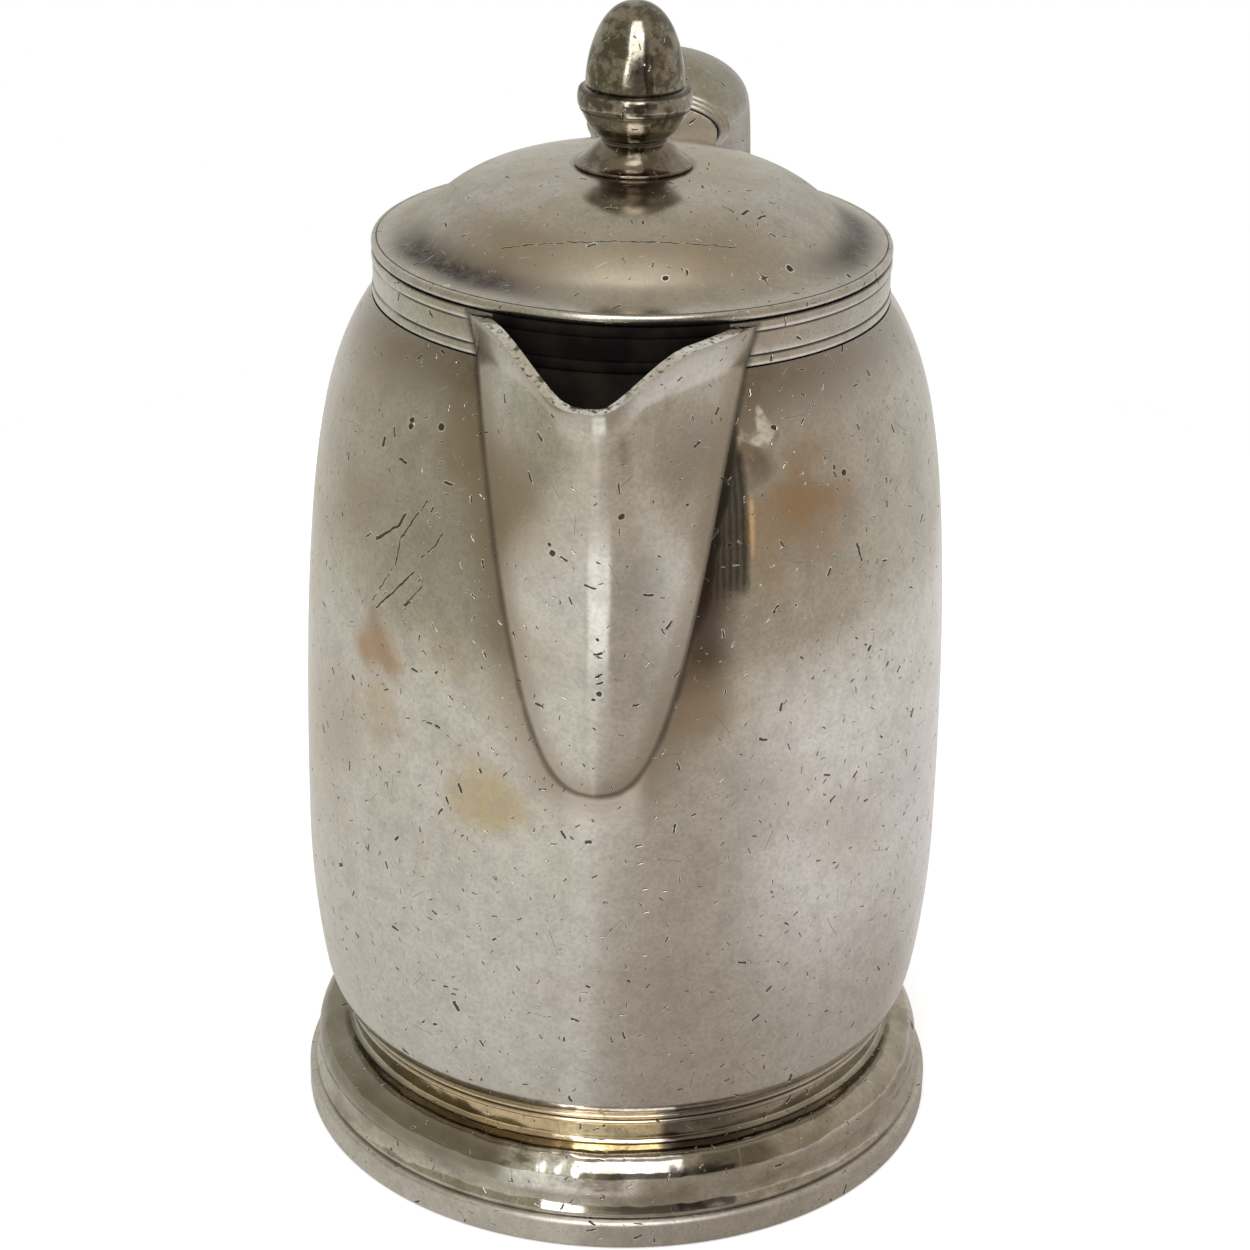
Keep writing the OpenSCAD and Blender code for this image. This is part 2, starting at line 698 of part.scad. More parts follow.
// A cast bracket on the body's shoulder: it holds the hinge in a pocket and carries the upper socket
module handle_bracket() {
    root_z = seat_z - bracket_drop;
    // Height at which the foot's round end begins, and how far the side curves run straight
    round_z = root_z + 0.6 * bracket_root;
    bend = 0.4 * bracket_drop;
    a = socket_a - socket_taper - 0.7;
    b = socket_b - socket_taper - 0.6;
    arch = [for (i = [0:24]) [a * cos(7.5 * i), socket_z + b * sin(7.5 * i)]];
    side = cubic_line([[a, socket_z], [a, socket_z - bend], [bracket_root, root_z + bend],
                       [bracket_root, round_z]], 8);
    foot_end = [for (i = [0:8])
                [-bracket_root * cos(22.5 * i), round_z - (round_z - root_z) * sin(22.5 * i)]];
    front = concat(arch, [for (p = side) [-p[0], p[1]]], foot_end, reversed(side));
    underside = cubic_line([[body_r(root_z) - 1, root_z], [body_r(root_z) + 0.2, root_z + 0.8 * bend],
                            [socket_y, socket_z - b - 0.9 * bend], [socket_y, socket_z - b + 0.6]], 10);
    color(silver)
        difference() {
            intersection() {
                translate([0, belly_r + 2 * past, 0])
                    rotate([90, 0, 0])
                        linear_extrude(height = belly_r)
                            polygon(front);
                across(-socket_a, 2 * socket_a)
                    polygon(concat([[mouth_r - 4, root_z]], underside,
                                   [[socket_y, socket_z + socket_b], [bracket_y, socket_z + socket_b],
                                    [bracket_y, pocket_floor], [mouth_r - 4, pocket_floor]]));
            }
            pot_outside(seam_gap);
        }
}

barrel();
base_plate();
foot();
foot_wire();
reeded_wire();
collar();
spout();
handle_left();
handle_right();
handle_bracket();
upper_socket();
lower_socket();
hinge_knuckles();
hinge_pin();
lid_dome();
lid_rim();
lid_bezel();
lid_hinge_leaf();
finial_pedestal();
acorn();
finial_screw();
finial_washer();
finial_nut();
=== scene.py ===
import math

import bpy
from mathutils import Matrix, Vector


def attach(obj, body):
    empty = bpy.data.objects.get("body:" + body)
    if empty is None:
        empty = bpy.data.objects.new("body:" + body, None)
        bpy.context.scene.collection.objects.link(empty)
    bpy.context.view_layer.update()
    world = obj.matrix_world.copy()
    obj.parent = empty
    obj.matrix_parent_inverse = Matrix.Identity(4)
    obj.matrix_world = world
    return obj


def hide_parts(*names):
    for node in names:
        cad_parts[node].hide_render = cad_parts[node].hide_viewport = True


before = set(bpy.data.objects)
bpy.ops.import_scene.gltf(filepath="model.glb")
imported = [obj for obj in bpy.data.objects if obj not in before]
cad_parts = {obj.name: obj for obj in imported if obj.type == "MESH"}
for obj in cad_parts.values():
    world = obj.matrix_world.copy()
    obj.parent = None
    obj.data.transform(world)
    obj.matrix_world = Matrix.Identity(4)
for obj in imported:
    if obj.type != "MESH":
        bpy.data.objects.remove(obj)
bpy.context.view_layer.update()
bpy.ops.object.select_all(action="DESELECT")
mm = 0.001

# ---- Viewpoint ----
# A long lens stands a little above the lid and a few degrees to the right of the spout.
# It looks down on the pot and is tilted slightly, so that the pot leans to the right.
VIEW_TURN = math.radians(4.5)
VIEW_DISTANCE = 0.3924
VIEW_HEIGHT = 0.2502
VIEW_DIP = math.radians(24.2)
VIEW_TILT = math.radians(1.08)
VIEW_LENS = 87
VIEW_FILM = 36

bpy.ops.object.camera_add()
camera = bpy.context.object
camera.matrix_world = (
    Matrix.Rotation(VIEW_TURN, 4, "Z")
    @ Matrix.Translation((0, -VIEW_DISTANCE, VIEW_HEIGHT))
    @ Matrix.Rotation(math.pi / 2 - VIEW_DIP, 4, "X")
    @ Matrix.Rotation(VIEW_TILT, 4, "Z")
)
camera.data.sensor_width = VIEW_FILM
camera.data.lens = VIEW_LENS
bpy.context.scene.camera = camera
bpy.context.scene.view_settings.view_transform = "Standard"

# ---- Studio ----
# The pot stands on a round white table in a pale room, with a tall window on the left of the camera,
# a soft lamp overhead, and the dark shape of whoever stands behind the camera.


class Value:
    """A number, colour or vector in a material, which can be written in sums."""

    def __init__(self, finish, socket):
        self.finish = finish
        self.socket = socket

    def sum(self, operation, *terms):
        return self.finish.add("Math", dict(enumerate(terms)), operation=operation)

    def __add__(self, other):
        return self.sum("ADD", self, other)

    def __radd__(self, other):
        return self.sum("ADD", other, self)

    def __sub__(self, other):
        return self.sum("SUBTRACT", self, other)

    def __rsub__(self, other):
        return self.sum("SUBTRACT", other, self)

    def __mul__(self, other):
        return self.sum("MULTIPLY", self, other)

    def __rmul__(self, other):
        return self.sum("MULTIPLY", other, self)

    def __truediv__(self, other):
        return self.sum("DIVIDE", self, other)

    def __pow__(self, other):
        return self.sum("POWER", self, other)

    def __lt__(self, other):
        return self.sum("LESS_THAN", self, other)

    def __abs__(self):
        return self.sum("ABSOLUTE", self)

    def most(self, *others):
        top = self
        for other in others:
            top = self.sum("MAXIMUM", top, other)
        return top

    def gap(self, point):
        """How many millimetres a place lies from a point, which is in millimetres too."""
        return self.vector("DISTANCE", Vector(point) * mm, "Value") / mm

    def output(self, name):
        """Another output of the node that this value comes from."""
        return Value(self.finish, self.socket.node.outputs[name])

    def axis(self, letter):
        return self.finish.add("SeparateXYZ", {"Vector": self}, output=letter)

    def vector(self, operation, other=None, output="Vector"):
        values = {0: self} if other is None else {0: self, 1: other}
        return self.finish.add("VectorMath", values, output=output, operation=operation)

    def times(self, factor):
        values = {"Vector": self, "Scale": factor}
        return self.finish.add("VectorMath", values, operation="SCALE")

    def step(self, low, high):
        """Runs smoothly from 0 at low to 1 at high."""
        if low > high:
            return 1 - self.step(high, low)
        values = {"Value": self, "From Min": low, "From Max": high}
        return self.finish.add("MapRange", values, interpolation_type="SMOOTHSTEP")


class Finish:
    """The nodes of a material or of the room."""

    def __init__(self, owner):
        owner.use_nodes = True
        self.owner = owner
        self.tree = owner.node_tree
        self.tree.nodes.clear()

    def add(self, kind, values=(), output=0, **settings):
        """Adds a node, sets it up, fills its sockets, and returns one of its outputs."""
        node = self.tree.nodes.new("ShaderNode" + kind)
        for name, setting in settings.items():
            setattr(node, name, setting)
        for name, value in dict(values).items():
            if isinstance(value, Value):
                self.tree.links.new(value.socket, node.inputs[name])
            elif node.inputs[name].type == "RGBA":
                node.inputs[name].default_value = (*value, 1)
            else:
                node.inputs[name].default_value = value
        return Value(self, node.outputs[output]) if node.outputs else None

    def mix(self, factor, first, second):
        """The colour first where factor is 0, and second where it is 1."""
        values = {"Factor": factor, 6: first, 7: second}
        return self.add("Mix", values, output=2, data_type="RGBA")

    def noise(self, place, size, **values):
        """Soft noise from 0 to 1, with blobs of about that size."""
        return self.add("TexNoise", {"Vector": place, "Scale": 1 / size, **values})


ROOM_LEVEL = 0.95
LEFT_WALL = (0.44, 0.41, 0.31)
RIGHT_WALL = (0.50, 0.44, 0.36)
BACK_WALL = (0.68, 0.66, 0.60)
CEILING = (0.55, 0.50, 0.40)
PERSON = (0.17, 0.14, 0.12)
CABINET = (0.04, 0.03, 0.022)
SLATS = (0.19, 0.175, 0.15)
LAMPLIGHT = (1.1, 0.8, 0.48)
TABLE_RADIUS = 0.305
TABLE_DROP = 0.1 * mm


def bearing(place):
    """How many degrees a point or direction lies to the right of the spout's, seen from above."""
    angle = place.finish.add("Math", {0: place.axis("X"), 1: 0 - place.axis("Y")}, operation="ARCTAN2")
    return angle * math.degrees(1)


world = bpy.data.worlds.new("room")
bpy.context.scene.world = world
room = Finish(world)
ray = room.add("LightPath")
towards = room.add("TexCoord", output="Generated").vector("NORMALIZE")
turn = bearing(towards)
lift = room.add("Math", {0: towards.axis("Z")}, operation="ARCSINE") * math.degrees(1)
walls = room.mix(turn.step(-30, 60), LEFT_WALL, RIGHT_WALL)
walls = room.mix(abs(turn).step(70, 150), walls, BACK_WALL)
walls = room.mix(lift.step(35, 70), walls, CEILING)
person = abs(turn - 21).step(27, 12) * lift.step(42, 24)
cabinet = abs(turn - 37).step(11.5, 10.5) * lift.step(17, 14) * lift.step(-13, -11)
lit_edge = abs(turn - 49.2).step(1.0, 0.3) * lift.step(3, 0) * lift.step(-9, -7)
lit_edge = lit_edge.most(abs(turn - 27).step(1.2, 0.5) * lift.step(-3, -5) * lift.step(-16, -13))
walls = room.mix(person, walls, PERSON)
slats = abs(room.add("Math", {0: turn * 1.3}, operation="SINE")).step(0.3, 0.8)
slats = slats * turn.step(32, 36)
walls = room.mix(cabinet, walls, room.mix(slats, CABINET, SLATS))
walls = room.mix(lit_edge, walls, LAMPLIGHT)
mirrored = room.add("Background", {"Color": walls})
lit = room.add("Background", {"Color": (ROOM_LEVEL,) * 3})
white = room.add("Background", {"Color": (1, 1, 1)})
unseen = room.add("MixShader", {"Fac": ray.output("Is Glossy Ray"), 1: lit, 2: mirrored})
shown = room.add("MixShader", {"Fac": ray.output("Is Camera Ray"), 1: unseen, 2: white})
room.add("OutputWorld", {"Surface": shown})

# The table's colour in reflections is painted light: a painted sheen, brighter towards the window; painted
# shadow where the person's shadow and the pot's own shadow lie on it; a painted bright patch and streak in
# front of the spout; and the left wall's colour towards its edge.
TABLE_WHITE = (0.9, 0.9, 0.9)
TABLE_LEFT = (0.62, 0.60, 0.55)
TABLE_RIGHT = (0.70, 0.67, 0.66)
TABLE_SHADOW = (0.36, 0.32, 0.27)
TABLE_SHINE = (1.0, 1.0, 0.97)
TABLE_GLOW = (0.2, 0.2, 0.2)

bpy.ops.mesh.primitive_circle_add(
    vertices=128, radius=TABLE_RADIUS, fill_type="NGON", location=(0, 0, -TABLE_DROP))
table = bpy.context.object
table.name = "table"
cloth = Finish(bpy.data.materials.new("table_white"))
cloth_ray = cloth.add("LightPath")
cloth_place = cloth.add("TexCoord", output="Object")
cloth_turn = bearing(cloth_place)
sheen = cloth.mix(cloth_turn.step(-10, 70), TABLE_LEFT, TABLE_RIGHT)
sheen = cloth.mix(abs(cloth_turn - 22).step(46, 4) * 0.9, sheen, TABLE_SHADOW)
reach = cloth_place.vector("LENGTH", output="Value")
near = reach.step(0.15, 0.06)
sheen = cloth.mix(reach.step(0.22, 0.31) * 0.5, sheen, LEFT_WALL)
sheen = cloth.mix(abs(cloth_turn - 65).step(75, 25) * near * 0.7, sheen, TABLE_SHADOW)
# A painted bright patch and a faint painted streak in front give the spout and the body below it a highlight
# in reflection.
streak = abs(cloth_turn + 6).step(7, 1) * 0.2
in_front = cloth_turn.step(-15, -11) * cloth_turn.step(12, 8)
shine = in_front * reach.step(0.188, 0.205) * reach.step(0.25, 0.235)
sheen = cloth.mix(streak.most(shine), sheen, TABLE_SHINE)
sheen = cloth.mix(cloth_ray.output("Is Glossy Ray"), TABLE_WHITE, sheen)
matte = cloth.add("BsdfDiffuse", {"Color": sheen})
seen = cloth.mix(cloth_ray.output("Is Camera Ray"), (0, 0, 0), TABLE_GLOW)
glow = cloth.add("Emission", {"Color": seen, "Strength": 1})
cloth.add("OutputMaterial", {"Surface": cloth.add("AddShader", {0: matte, 1: glow})})
table.data.materials.append(cloth.owner)


def lamp(name, width, height, place, aim, radiance):
    """An oblong lamp at place that faces aim."""
    bpy.ops.object.light_add(type="AREA", location=place)
    light = bpy.context.object
    light.name = name
    light.rotation_euler = (Vector(aim) - Vector(place)).to_track_quat("-Z", "Y").to_euler()
    light.data.shape = "RECTANGLE"
    light.data.size = width
    light.data.size_y = height
    light.data.energy = radiance * math.pi * width * height


lamp("window", 0.2, 1.7, (-0.3, -1.35, 0.8), (0, 0, 0.08), 4.5)
lamp("soft_lamp", 0.7, 1.25, (0.14, -0.94, 0.98), (0, 0, 0.05), 2.8)

# ---- Foot wire ----
# A heavy plain wire, drawn and bent into a ring, is soldered round the bottom edge of the foot.
# It is what the pot stands on, so its face is dull and worn all over.


def edit_mesh(**steps):
    """Runs Blender's mesh operations, each with its settings, on the whole of the active piece."""
    bpy.ops.object.mode_set(mode="EDIT")
    for operation, settings in steps.items():
        bpy.ops.mesh.select_all(action="SELECT")
        getattr(bpy.ops.mesh, operation)(**settings)
    bpy.ops.object.mode_set(mode="OBJECT")


def smooth(angle):
    """Shades the selected piece smooth, apart from edges sharper than angle degrees."""
    bpy.ops.object.shade_smooth_by_angle(angle=math.radians(angle))


def coat(piece, finish):
    piece.data.materials.clear()
    piece.data.materials.append(finish)


def turned(name, outline, steps=192):
    """Spins an outline of (radius, height) points, in millimetres, round the pot's axis."""
    bpy.ops.mesh.primitive_plane_add(size=mm)
    piece = bpy.context.object
    piece.name = name
    bpy.ops.object.mode_set(mode="EDIT")
    bpy.ops.mesh.merge(type="CENTER")
    last = Vector((0, 0, 0))
    for index, (radius, height) in enumerate(outline):
        point = Vector((radius * mm, 0, height * mm))
        if index == 0:
            bpy.ops.transform.translate(value=point)
        else:
            bpy.ops.mesh.extrude_vertices_move(TRANSFORM_OT_translate={"value": tuple(point - last)})
        last = point
    edit_mesh(spin={"steps": steps, "angle": 2 * math.pi, "center": (0, 0, 0), "axis": (0, 0, 1)},
              remove_doubles={"threshold": 0.01 * mm}, normals_make_consistent={"inside": False})
    smooth(35)
    return piece


def arc(centre, width, height, start, end, steps):
    """Points of (radius, height) on a quarter or more of an oval, from one angle to another."""
    turns = [math.radians(start + (end - start) * i / steps) for i in range(steps + 1)]
    return [(centre[0] + width * math.cos(a), centre[1] + height * math.sin(a)) for a in turns]


def in_surface(line, facing):
    """The part of a direction that lies in the surface."""
    return line.vector("SUBTRACT", facing.times(line.vector("DOT_PRODUCT", facing, "Value")))


def scratches(finish, place, facing, spacing, length, width, share):
    """Short straight cuts that lie in the surface, at most one in each cell of that spacing, from 0 to 1."""
    cell = finish.add("TexVoronoi", {"Vector": place, "Scale": 1 / spacing}, output="Position")
    luck = finish.add("TexWhiteNoise", {"Vector": cell})
    away = in_surface(place.vector("SUBTRACT", cell), facing)
    way = in_surface(cell.output("Color").vector("SUBTRACT", (0.5, 0.5, 0.5)), facing)
    way = way.vector("NORMALIZE")
    along = away.vector("DOT_PRODUCT", way, "Value")
    aside = away.vector("SUBTRACT", way.times(along)).vector("LENGTH", output="Value")
    size = luck.output("Value") / share
    ends = (abs(along) / (length * (0.25 + 0.75 * size))).step(1, 0.6)
    sides = (aside / (width * (0.4 + 0.6 * size))).step(1, 0.2)
    return ends * sides * (size < 1)


def stroke(place, start, end, width):
    """A straight cut from start to end, as a mask."""
    start, end = Vector(start) * mm, Vector(end) * mm
    line = end - start
    from_start = place.vector("SUBTRACT", start)
    share = from_start.vector("DOT_PRODUCT", line / line.length_squared, "Value")
    share = share.finish.add("Math", {0: share, 1: 0}, operation="ADD", use_clamp=True)
    along = share.finish.add("VectorMath", {0: line, "Scale": share}, operation="SCALE")
    away = from_start.vector("SUBTRACT", along)
    return away.vector("LENGTH", output="Value").step(width * mm, width * 0.3 * mm)


def strayed(finish, place, size, reach, detail):
    """Each place moved a little by noise of that size, so that what is drawn there has ragged edges."""
    values = {"Vector": place, "Scale": 1 / size, "Detail": detail}
    stray = finish.add("TexNoise", values, output="Color").vector("SUBTRACT", (0.5, 0.5, 0.5))
    return place.vector("ADD", stray.times(reach))


CLEAN_SILVER = (0.68, 0.655, 0.61)
BARE_SILVER_AND_HIGHLIGHT = (0.92, 0.91, 0.88)
BROWN_TARNISH = (0.46, 0.36, 0.26)
OLIVE_TARNISH = (0.50, 0.46, 0.34)
DULL_TARNISH = (0.47, 0.44, 0.39)
LILAC_TARNISH = (0.60, 0.56, 0.57)
DIRT_AND_SHADE = (0.05, 0.045, 0.035)


def silver(name, shine, tarnish=1.0, wear=1.0, colour=CLEAN_SILVER, dents=0.0, knocks=(), grooves=(),
           add_stains=None, add_dirt_and_shade=None, add_haze=None):
    """Old silver plate. Shine is its roughness, and dents is how deep its soft hollows are, in millimetres.

    Knocks are (centre, half width) and grooves are (points, half width), both in millimetres.
    Stains give a new colour, dirt and painted shade a mask of dark places, and haze how much duller each
    place is.
    """
    finish = Finish(bpy.data.materials.new(name))
    place = finish.add("TexCoord", output="Object")
    facing = finish.add("TexCoord", output="Normal")
    lilac = finish.noise(place.vector("ADD", (0, 0.7, 0.2)), 34 * mm, Detail=2).step(0.5, 0.7)
    olive = finish.noise(place.vector("ADD", (0.3, 0.1, 0)), 20 * mm, Detail=3).step(0.5, 0.8)
    dull = finish.noise(place.vector("ADD", (0.5, 0.2, 0.4)), 12 * mm, Detail=5).step(0.45, 0.75)
    brown = finish.noise(place, 26 * mm, Detail=3, Distortion=0.4).step(0.5, 0.8)
    base = finish.mix(lilac * 0.5 * tarnish, colour, LILAC_TARNISH)
    base = finish.mix(olive * 0.5 * tarnish, base, OLIVE_TARNISH)
    base = finish.mix(dull * 0.5 * tarnish, base, DULL_TARNISH)
    base = finish.mix(brown * 0.65 * tarnish, base, BROWN_TARNISH)
    cloud = finish.noise(place, 3 * mm, Detail=7, Roughness=0.7)
    grain = finish.noise(place, 0.6 * mm, Detail=3, Roughness=0.7)
    if add_stains:
        base = add_stains(finish, place, base)
    base = finish.mix(cloud.step(0.4, 0.7) * 0.42, base, tuple(0.58 * c for c in colour))
    base = finish.mix(grain.step(0.42, 0.62) * 0.28, base, tuple(0.5 * c for c in colour))

    ragged = strayed(finish, place, 1.1 * mm, 0.6 * mm, 2)
    dug = scratches(finish, ragged, facing, 18 * mm, 1.1 * mm, 0.55 * mm, 0.4 * wear)
    dug = dug.most(scratches(finish, ragged, facing, 6.6 * mm, 0.9 * mm, 0.27 * mm, 0.7 * wear))
    dug = dug.most(scratches(finish, ragged, facing, 3.2 * mm, 0.6 * mm, 0.15 * mm, 0.8 * wear) * 0.75)
    marks = dug.most(scratches(finish, place, facing, 8 * mm, 3.2 * mm, 0.11 * mm, 0.6 * wear) * 0.65)
    known = marks * 0
    for centre, width in knocks:
        known = known.most(ragged.gap(centre).step(width, width * 0.3))
    for points, width in grooves:
        for start, end in zip(points, points[1:]):
            known = known.most(stroke(ragged, start, end, width))
    marks = marks.most(known)
    elsewhere = place.vector("ADD", (0.2, 0.2, 0.2))
    rubs = scratches(finish, elsewhere, facing, 4.6 * mm, 1.1 * mm, 0.1 * mm, 0.4 * wear)
    # A painted highlight rim round each mark, and light rubs of bare silver.
    painted_highlight_rims = marks.step(0.03, 0.2) * marks.step(0.6, 0.35)
    base = finish.mix((painted_highlight_rims * 0.6).most(rubs * 0.3), base, BARE_SILVER_AND_HIGHLIGHT)
    base = finish.mix(marks.step(0.35, 0.75) * 0.9, base, DIRT_AND_SHADE)

    depth = dug * -0.06 * mm + cloud * 0.008 * mm
    if dents:
        depth = depth + finish.noise(place, 7 * mm, Detail=2, Roughness=0.4) * dents * mm
    rough = shine + cloud * 0.08 + marks * 0.3
    # The dark mask is dirt, and on the body and lid it is painted shade as well.
    if add_dirt_and_shade:
        dirt = add_dirt_and_shade(finish, place)
        base = finish.mix(dirt, base, DIRT_AND_SHADE)
        rough = rough + dirt * 0.25
    if add_haze:
        rough = rough + add_haze(finish, place)
    bump = finish.add("Bump", {"Height": depth, "Distance": 1})
    values = {"Base Color": base, "Metallic": 1, "Roughness": rough, "Normal": bump}
    finish.add("OutputMaterial", {"Surface": finish.add("BsdfPrincipled", values)})
    return finish.owner


WIRE_R = 46.35
WIRE_HEIGHT = 4.2
WIRE_WIDTH = 3.0
wire_line = [(WIRE_R - WIRE_WIDTH, 0.3), (WIRE_R - WIRE_WIDTH + 0.3, 0), (WIRE_R - 0.5, 0)]
wire_line += arc((WIRE_R - 0.5, 0.5), 0.5, 0.5, -90, 0, 6)
wire_line += arc((WIRE_R - 0.8, WIRE_HEIGHT - 0.8), 0.8, 0.8, 0, 90, 10)
wire_line += [(WIRE_R - WIRE_WIDTH, WIRE_HEIGHT), (WIRE_R - WIRE_WIDTH, 0.3)]
wire_ring = turned("foot_edge", wire_line)
coat(wire_ring, silver("worn_wire", shine=0.36, tarnish=0.5, wear=1.2, colour=(0.62, 0.59, 0.54)))
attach(wire_ring, "pot")
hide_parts("foot_wire")

# ---- Foot ----
# The foot is stamped from sheet: a spreading band, a quarter-round and a plain neck.
# Silver is thick and bright on it, and dirt lies in the angle under the neck.
NECK_R = 39.6
BAND_R = WIRE_R - 1
OVOLO_R = BAND_R - 0.5
FOOT_SHEET = 1.1
BAND_TOP = 8.2
OVOLO_TOP = 12.9
NECK_TOP = 16.2


def curve(points, steps):
    """Points along a cubic curve with four control points."""
    line = []
    for i in range(steps + 1):
        t = i / steps
        share = ((1 - t) ** 3, 3 * t * (1 - t) ** 2, 3 * t * t * (1 - t), t**3)
        line.append(tuple(sum(s * p[k] for s, p in zip(share, points)) for k in (0, 1)))
    return line


NECK_FILLET = 0.9
roll_r = NECK_R + NECK_FILLET
foot_line = [(BAND_R - 0.3, WIRE_HEIGHT)] + arc((BAND_R - 0.3, WIRE_HEIGHT + 0.3), 0.3, 0.3, -70, 0, 5)
foot_line += curve([(BAND_R, WIRE_HEIGHT + 0.7), (BAND_R - 0.5, WIRE_HEIGHT + 1.7),
                    (OVOLO_R - 0.25, BAND_TOP - 1.6), (OVOLO_R - 0.1, BAND_TOP - 0.2)], 20)
for i in range(31):
    lean = math.radians(3 * i)
    foot_line.append((roll_r + (OVOLO_R - roll_r) * abs(math.cos(lean)) ** 0.85,
                      BAND_TOP + (OVOLO_TOP - BAND_TOP) * math.sin(lean) ** 0.85))
foot_line += arc((roll_r, OVOLO_TOP + NECK_FILLET), NECK_FILLET, NECK_FILLET, -90, -180, 8)[1:]
foot_line += [(NECK_R, NECK_TOP)]
under_line = [(r - FOOT_SHEET, z if z > OVOLO_TOP else max(WIRE_HEIGHT, z - FOOT_SHEET))
              for r, z in reversed(foot_line)]
foot = turned("foot_moulding", foot_line + under_line + foot_line[:1])


def foot_dirt(finish, place):
    height = place.axis("Z")
    patchy = finish.noise(place, 20 * mm, Detail=3).step(0.3, 0.6)
    angle = abs(height - (OVOLO_TOP + 0.1) * mm).step(0.2 * mm, 0.05 * mm) * 0.3
    groove = abs(height - (WIRE_HEIGHT + 0.1) * mm).step(0.3 * mm, 0.05 * mm)
    rim = groove * abs(bearing(place) - 12).step(50, 20) * 0.8
    return angle.most(rim) * patchy


GOLD_TINT = (0.74, 0.56, 0.34)
GOLD_PAINTED_HIGHLIGHT = (1.0, 0.84, 0.54)
NECK_PAINTED_DARK_REFLECTION = (0.07, 0.045, 0.03)
OLD_BROWN = (0.24, 0.21, 0.15)
ROLL_BROWN = (0.17, 0.145, 0.10)
ROLL_PAINTED_DARK_REFLECTION = (0.07, 0.055, 0.035)
WORN_PALE = (0.62, 0.60, 0.54)
PAINTED_HIGHLIGHT_WHITE = (1.0, 0.99, 0.95)


def front_gold_and_highlight(side):
    """The masks of a gold tint on the front: a broad one, and a painted highlight down the middle."""
    end = side.step(15, 12.5)
    return side.step(-62, -22) * end, side.step(-9, -3) * end


def foot_stains(finish, place, base):
    """The neck has a gold tint at the front, a painted highlight and a painted dark reflection; the roll is
    brown and dull to the left, with a painted dark reflection and a painted white highlight.
    """
    height = place.axis("Z") / mm
    side = bearing(place)
    neck = height.step(OVOLO_TOP - 0.2, OVOLO_TOP + 0.2)
    broad, bright = front_gold_and_highlight(side)
    base = finish.mix(neck * broad, base, GOLD_TINT)
    # A painted highlight down the middle of the neck, and a painted dark reflection to its right.
    base = finish.mix(neck * bright, base, GOLD_PAINTED_HIGHLIGHT)
    base = finish.mix(neck * side.step(12.5, 15) * side.step(42, 24) * 0.85, base, NECK_PAINTED_DARK_REFLECTION)
    uneven = finish.noise(place.vector("MULTIPLY", (1, 1, 2.4)), 8 * mm, Detail=5, Roughness=0.6)
    base = finish.mix(uneven.step(0.45, 0.7) * 0.6, base, OLD_BROWN)
    roll = height.step(BAND_TOP - 1, BAND_TOP + 1.5) * height.step(OVOLO_TOP + 0.3, OVOLO_TOP)
    left = abs(side + 62).step(56, 46)
    base = finish.mix(roll * left * (0.45 + uneven * 0.6), base, ROLL_BROWN)
    # A painted dark reflection on the roll, to the right of the front.
    ragged = uneven * 9 + side
    painted_dark_reflection = ragged.step(23, 26) * ragged.step(42, 36) * height.step(9.8, 10.4) * height.step(12.6, 12.2)
    base = finish.mix(painted_dark_reflection * 0.8, base, ROLL_PAINTED_DARK_REFLECTION)
    # A painted white highlight on the roll at the front.
    painted_white_highlight = abs(ragged - 1).step(15, 9) * height.step(BAND_TOP - 1.2, BAND_TOP) * height.step(13, 12.2)
    base = finish.mix(painted_white_highlight * uneven.step(0.62, 0.45), base, PAINTED_HIGHLIGHT_WHITE)
    pale = height.step(BAND_TOP - 1, BAND_TOP - 2.5) * uneven.step(0.6, 0.4)
    return finish.mix(pale * 0.6, base, WORN_PALE)


coat(foot, silver(
    "foot_silver", shine=0.07, tarnish=0.6, wear=0.8, colour=(0.52, 0.49, 0.42), dents=0.5,
    add_stains=foot_stains, add_dirt_and_shade=foot_dirt))
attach(foot, "pot")
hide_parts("foot")

# ---- Reeded wire ----
# Two fine reeds, drawn as one wire, cover the joint between the foot and the body.
# The wire is bent into a ring and soldered on, and dirt lies in its grooves.
BASE_Z = 18.0
REED_R = 40.6 - 0.55
REED_SWELL = 0.55


def reed(radius, low, high, swell, steps=10):
    """The outline of a half-round reed that stands on an upright wall."""
    turns = [math.pi * i / steps for i in range(steps + 1)]
    middle, half = (low + high) / 2, (high - low) / 2
    return [(radius + swell * math.sin(a), middle - half * math.cos(a)) for a in turns]


reed_middle = (NECK_TOP + BASE_Z) / 2
reed_line = [(NECK_R - FOOT_SHEET, NECK_TOP)] + reed(REED_R, NECK_TOP, reed_middle, REED_SWELL)
reed_line += reed(REED_R, reed_middle, BASE_Z, REED_SWELL)
reed_line += [(NECK_R - FOOT_SHEET, BASE_Z), (NECK_R - FOOT_SHEET, NECK_TOP)]
reeds = turned("foot_reeds", reed_line)


def rings(place, heights, wide, narrow):
    """A mask of the lines that run round the pot at these heights."""
    lines = [abs(place.axis("Z") / mm - z).step(wide, narrow) for z in heights]
    return lines[0].most(*lines[1:])


def reed_dirt(finish, place):
    front = abs(bearing(place) - 4).step(60, 25) * 0.6 + 0.2
    return rings(place, (NECK_TOP, reed_middle, BASE_Z), 0.22, 0.05) * front


REED_GOLD = (0.78, 0.60, 0.38)
REED_PAINTED_HIGHLIGHT = (1.0, 0.80, 0.52)
REED_PAINTED_DARK_REFLECTION = (0.10, 0.07, 0.05)


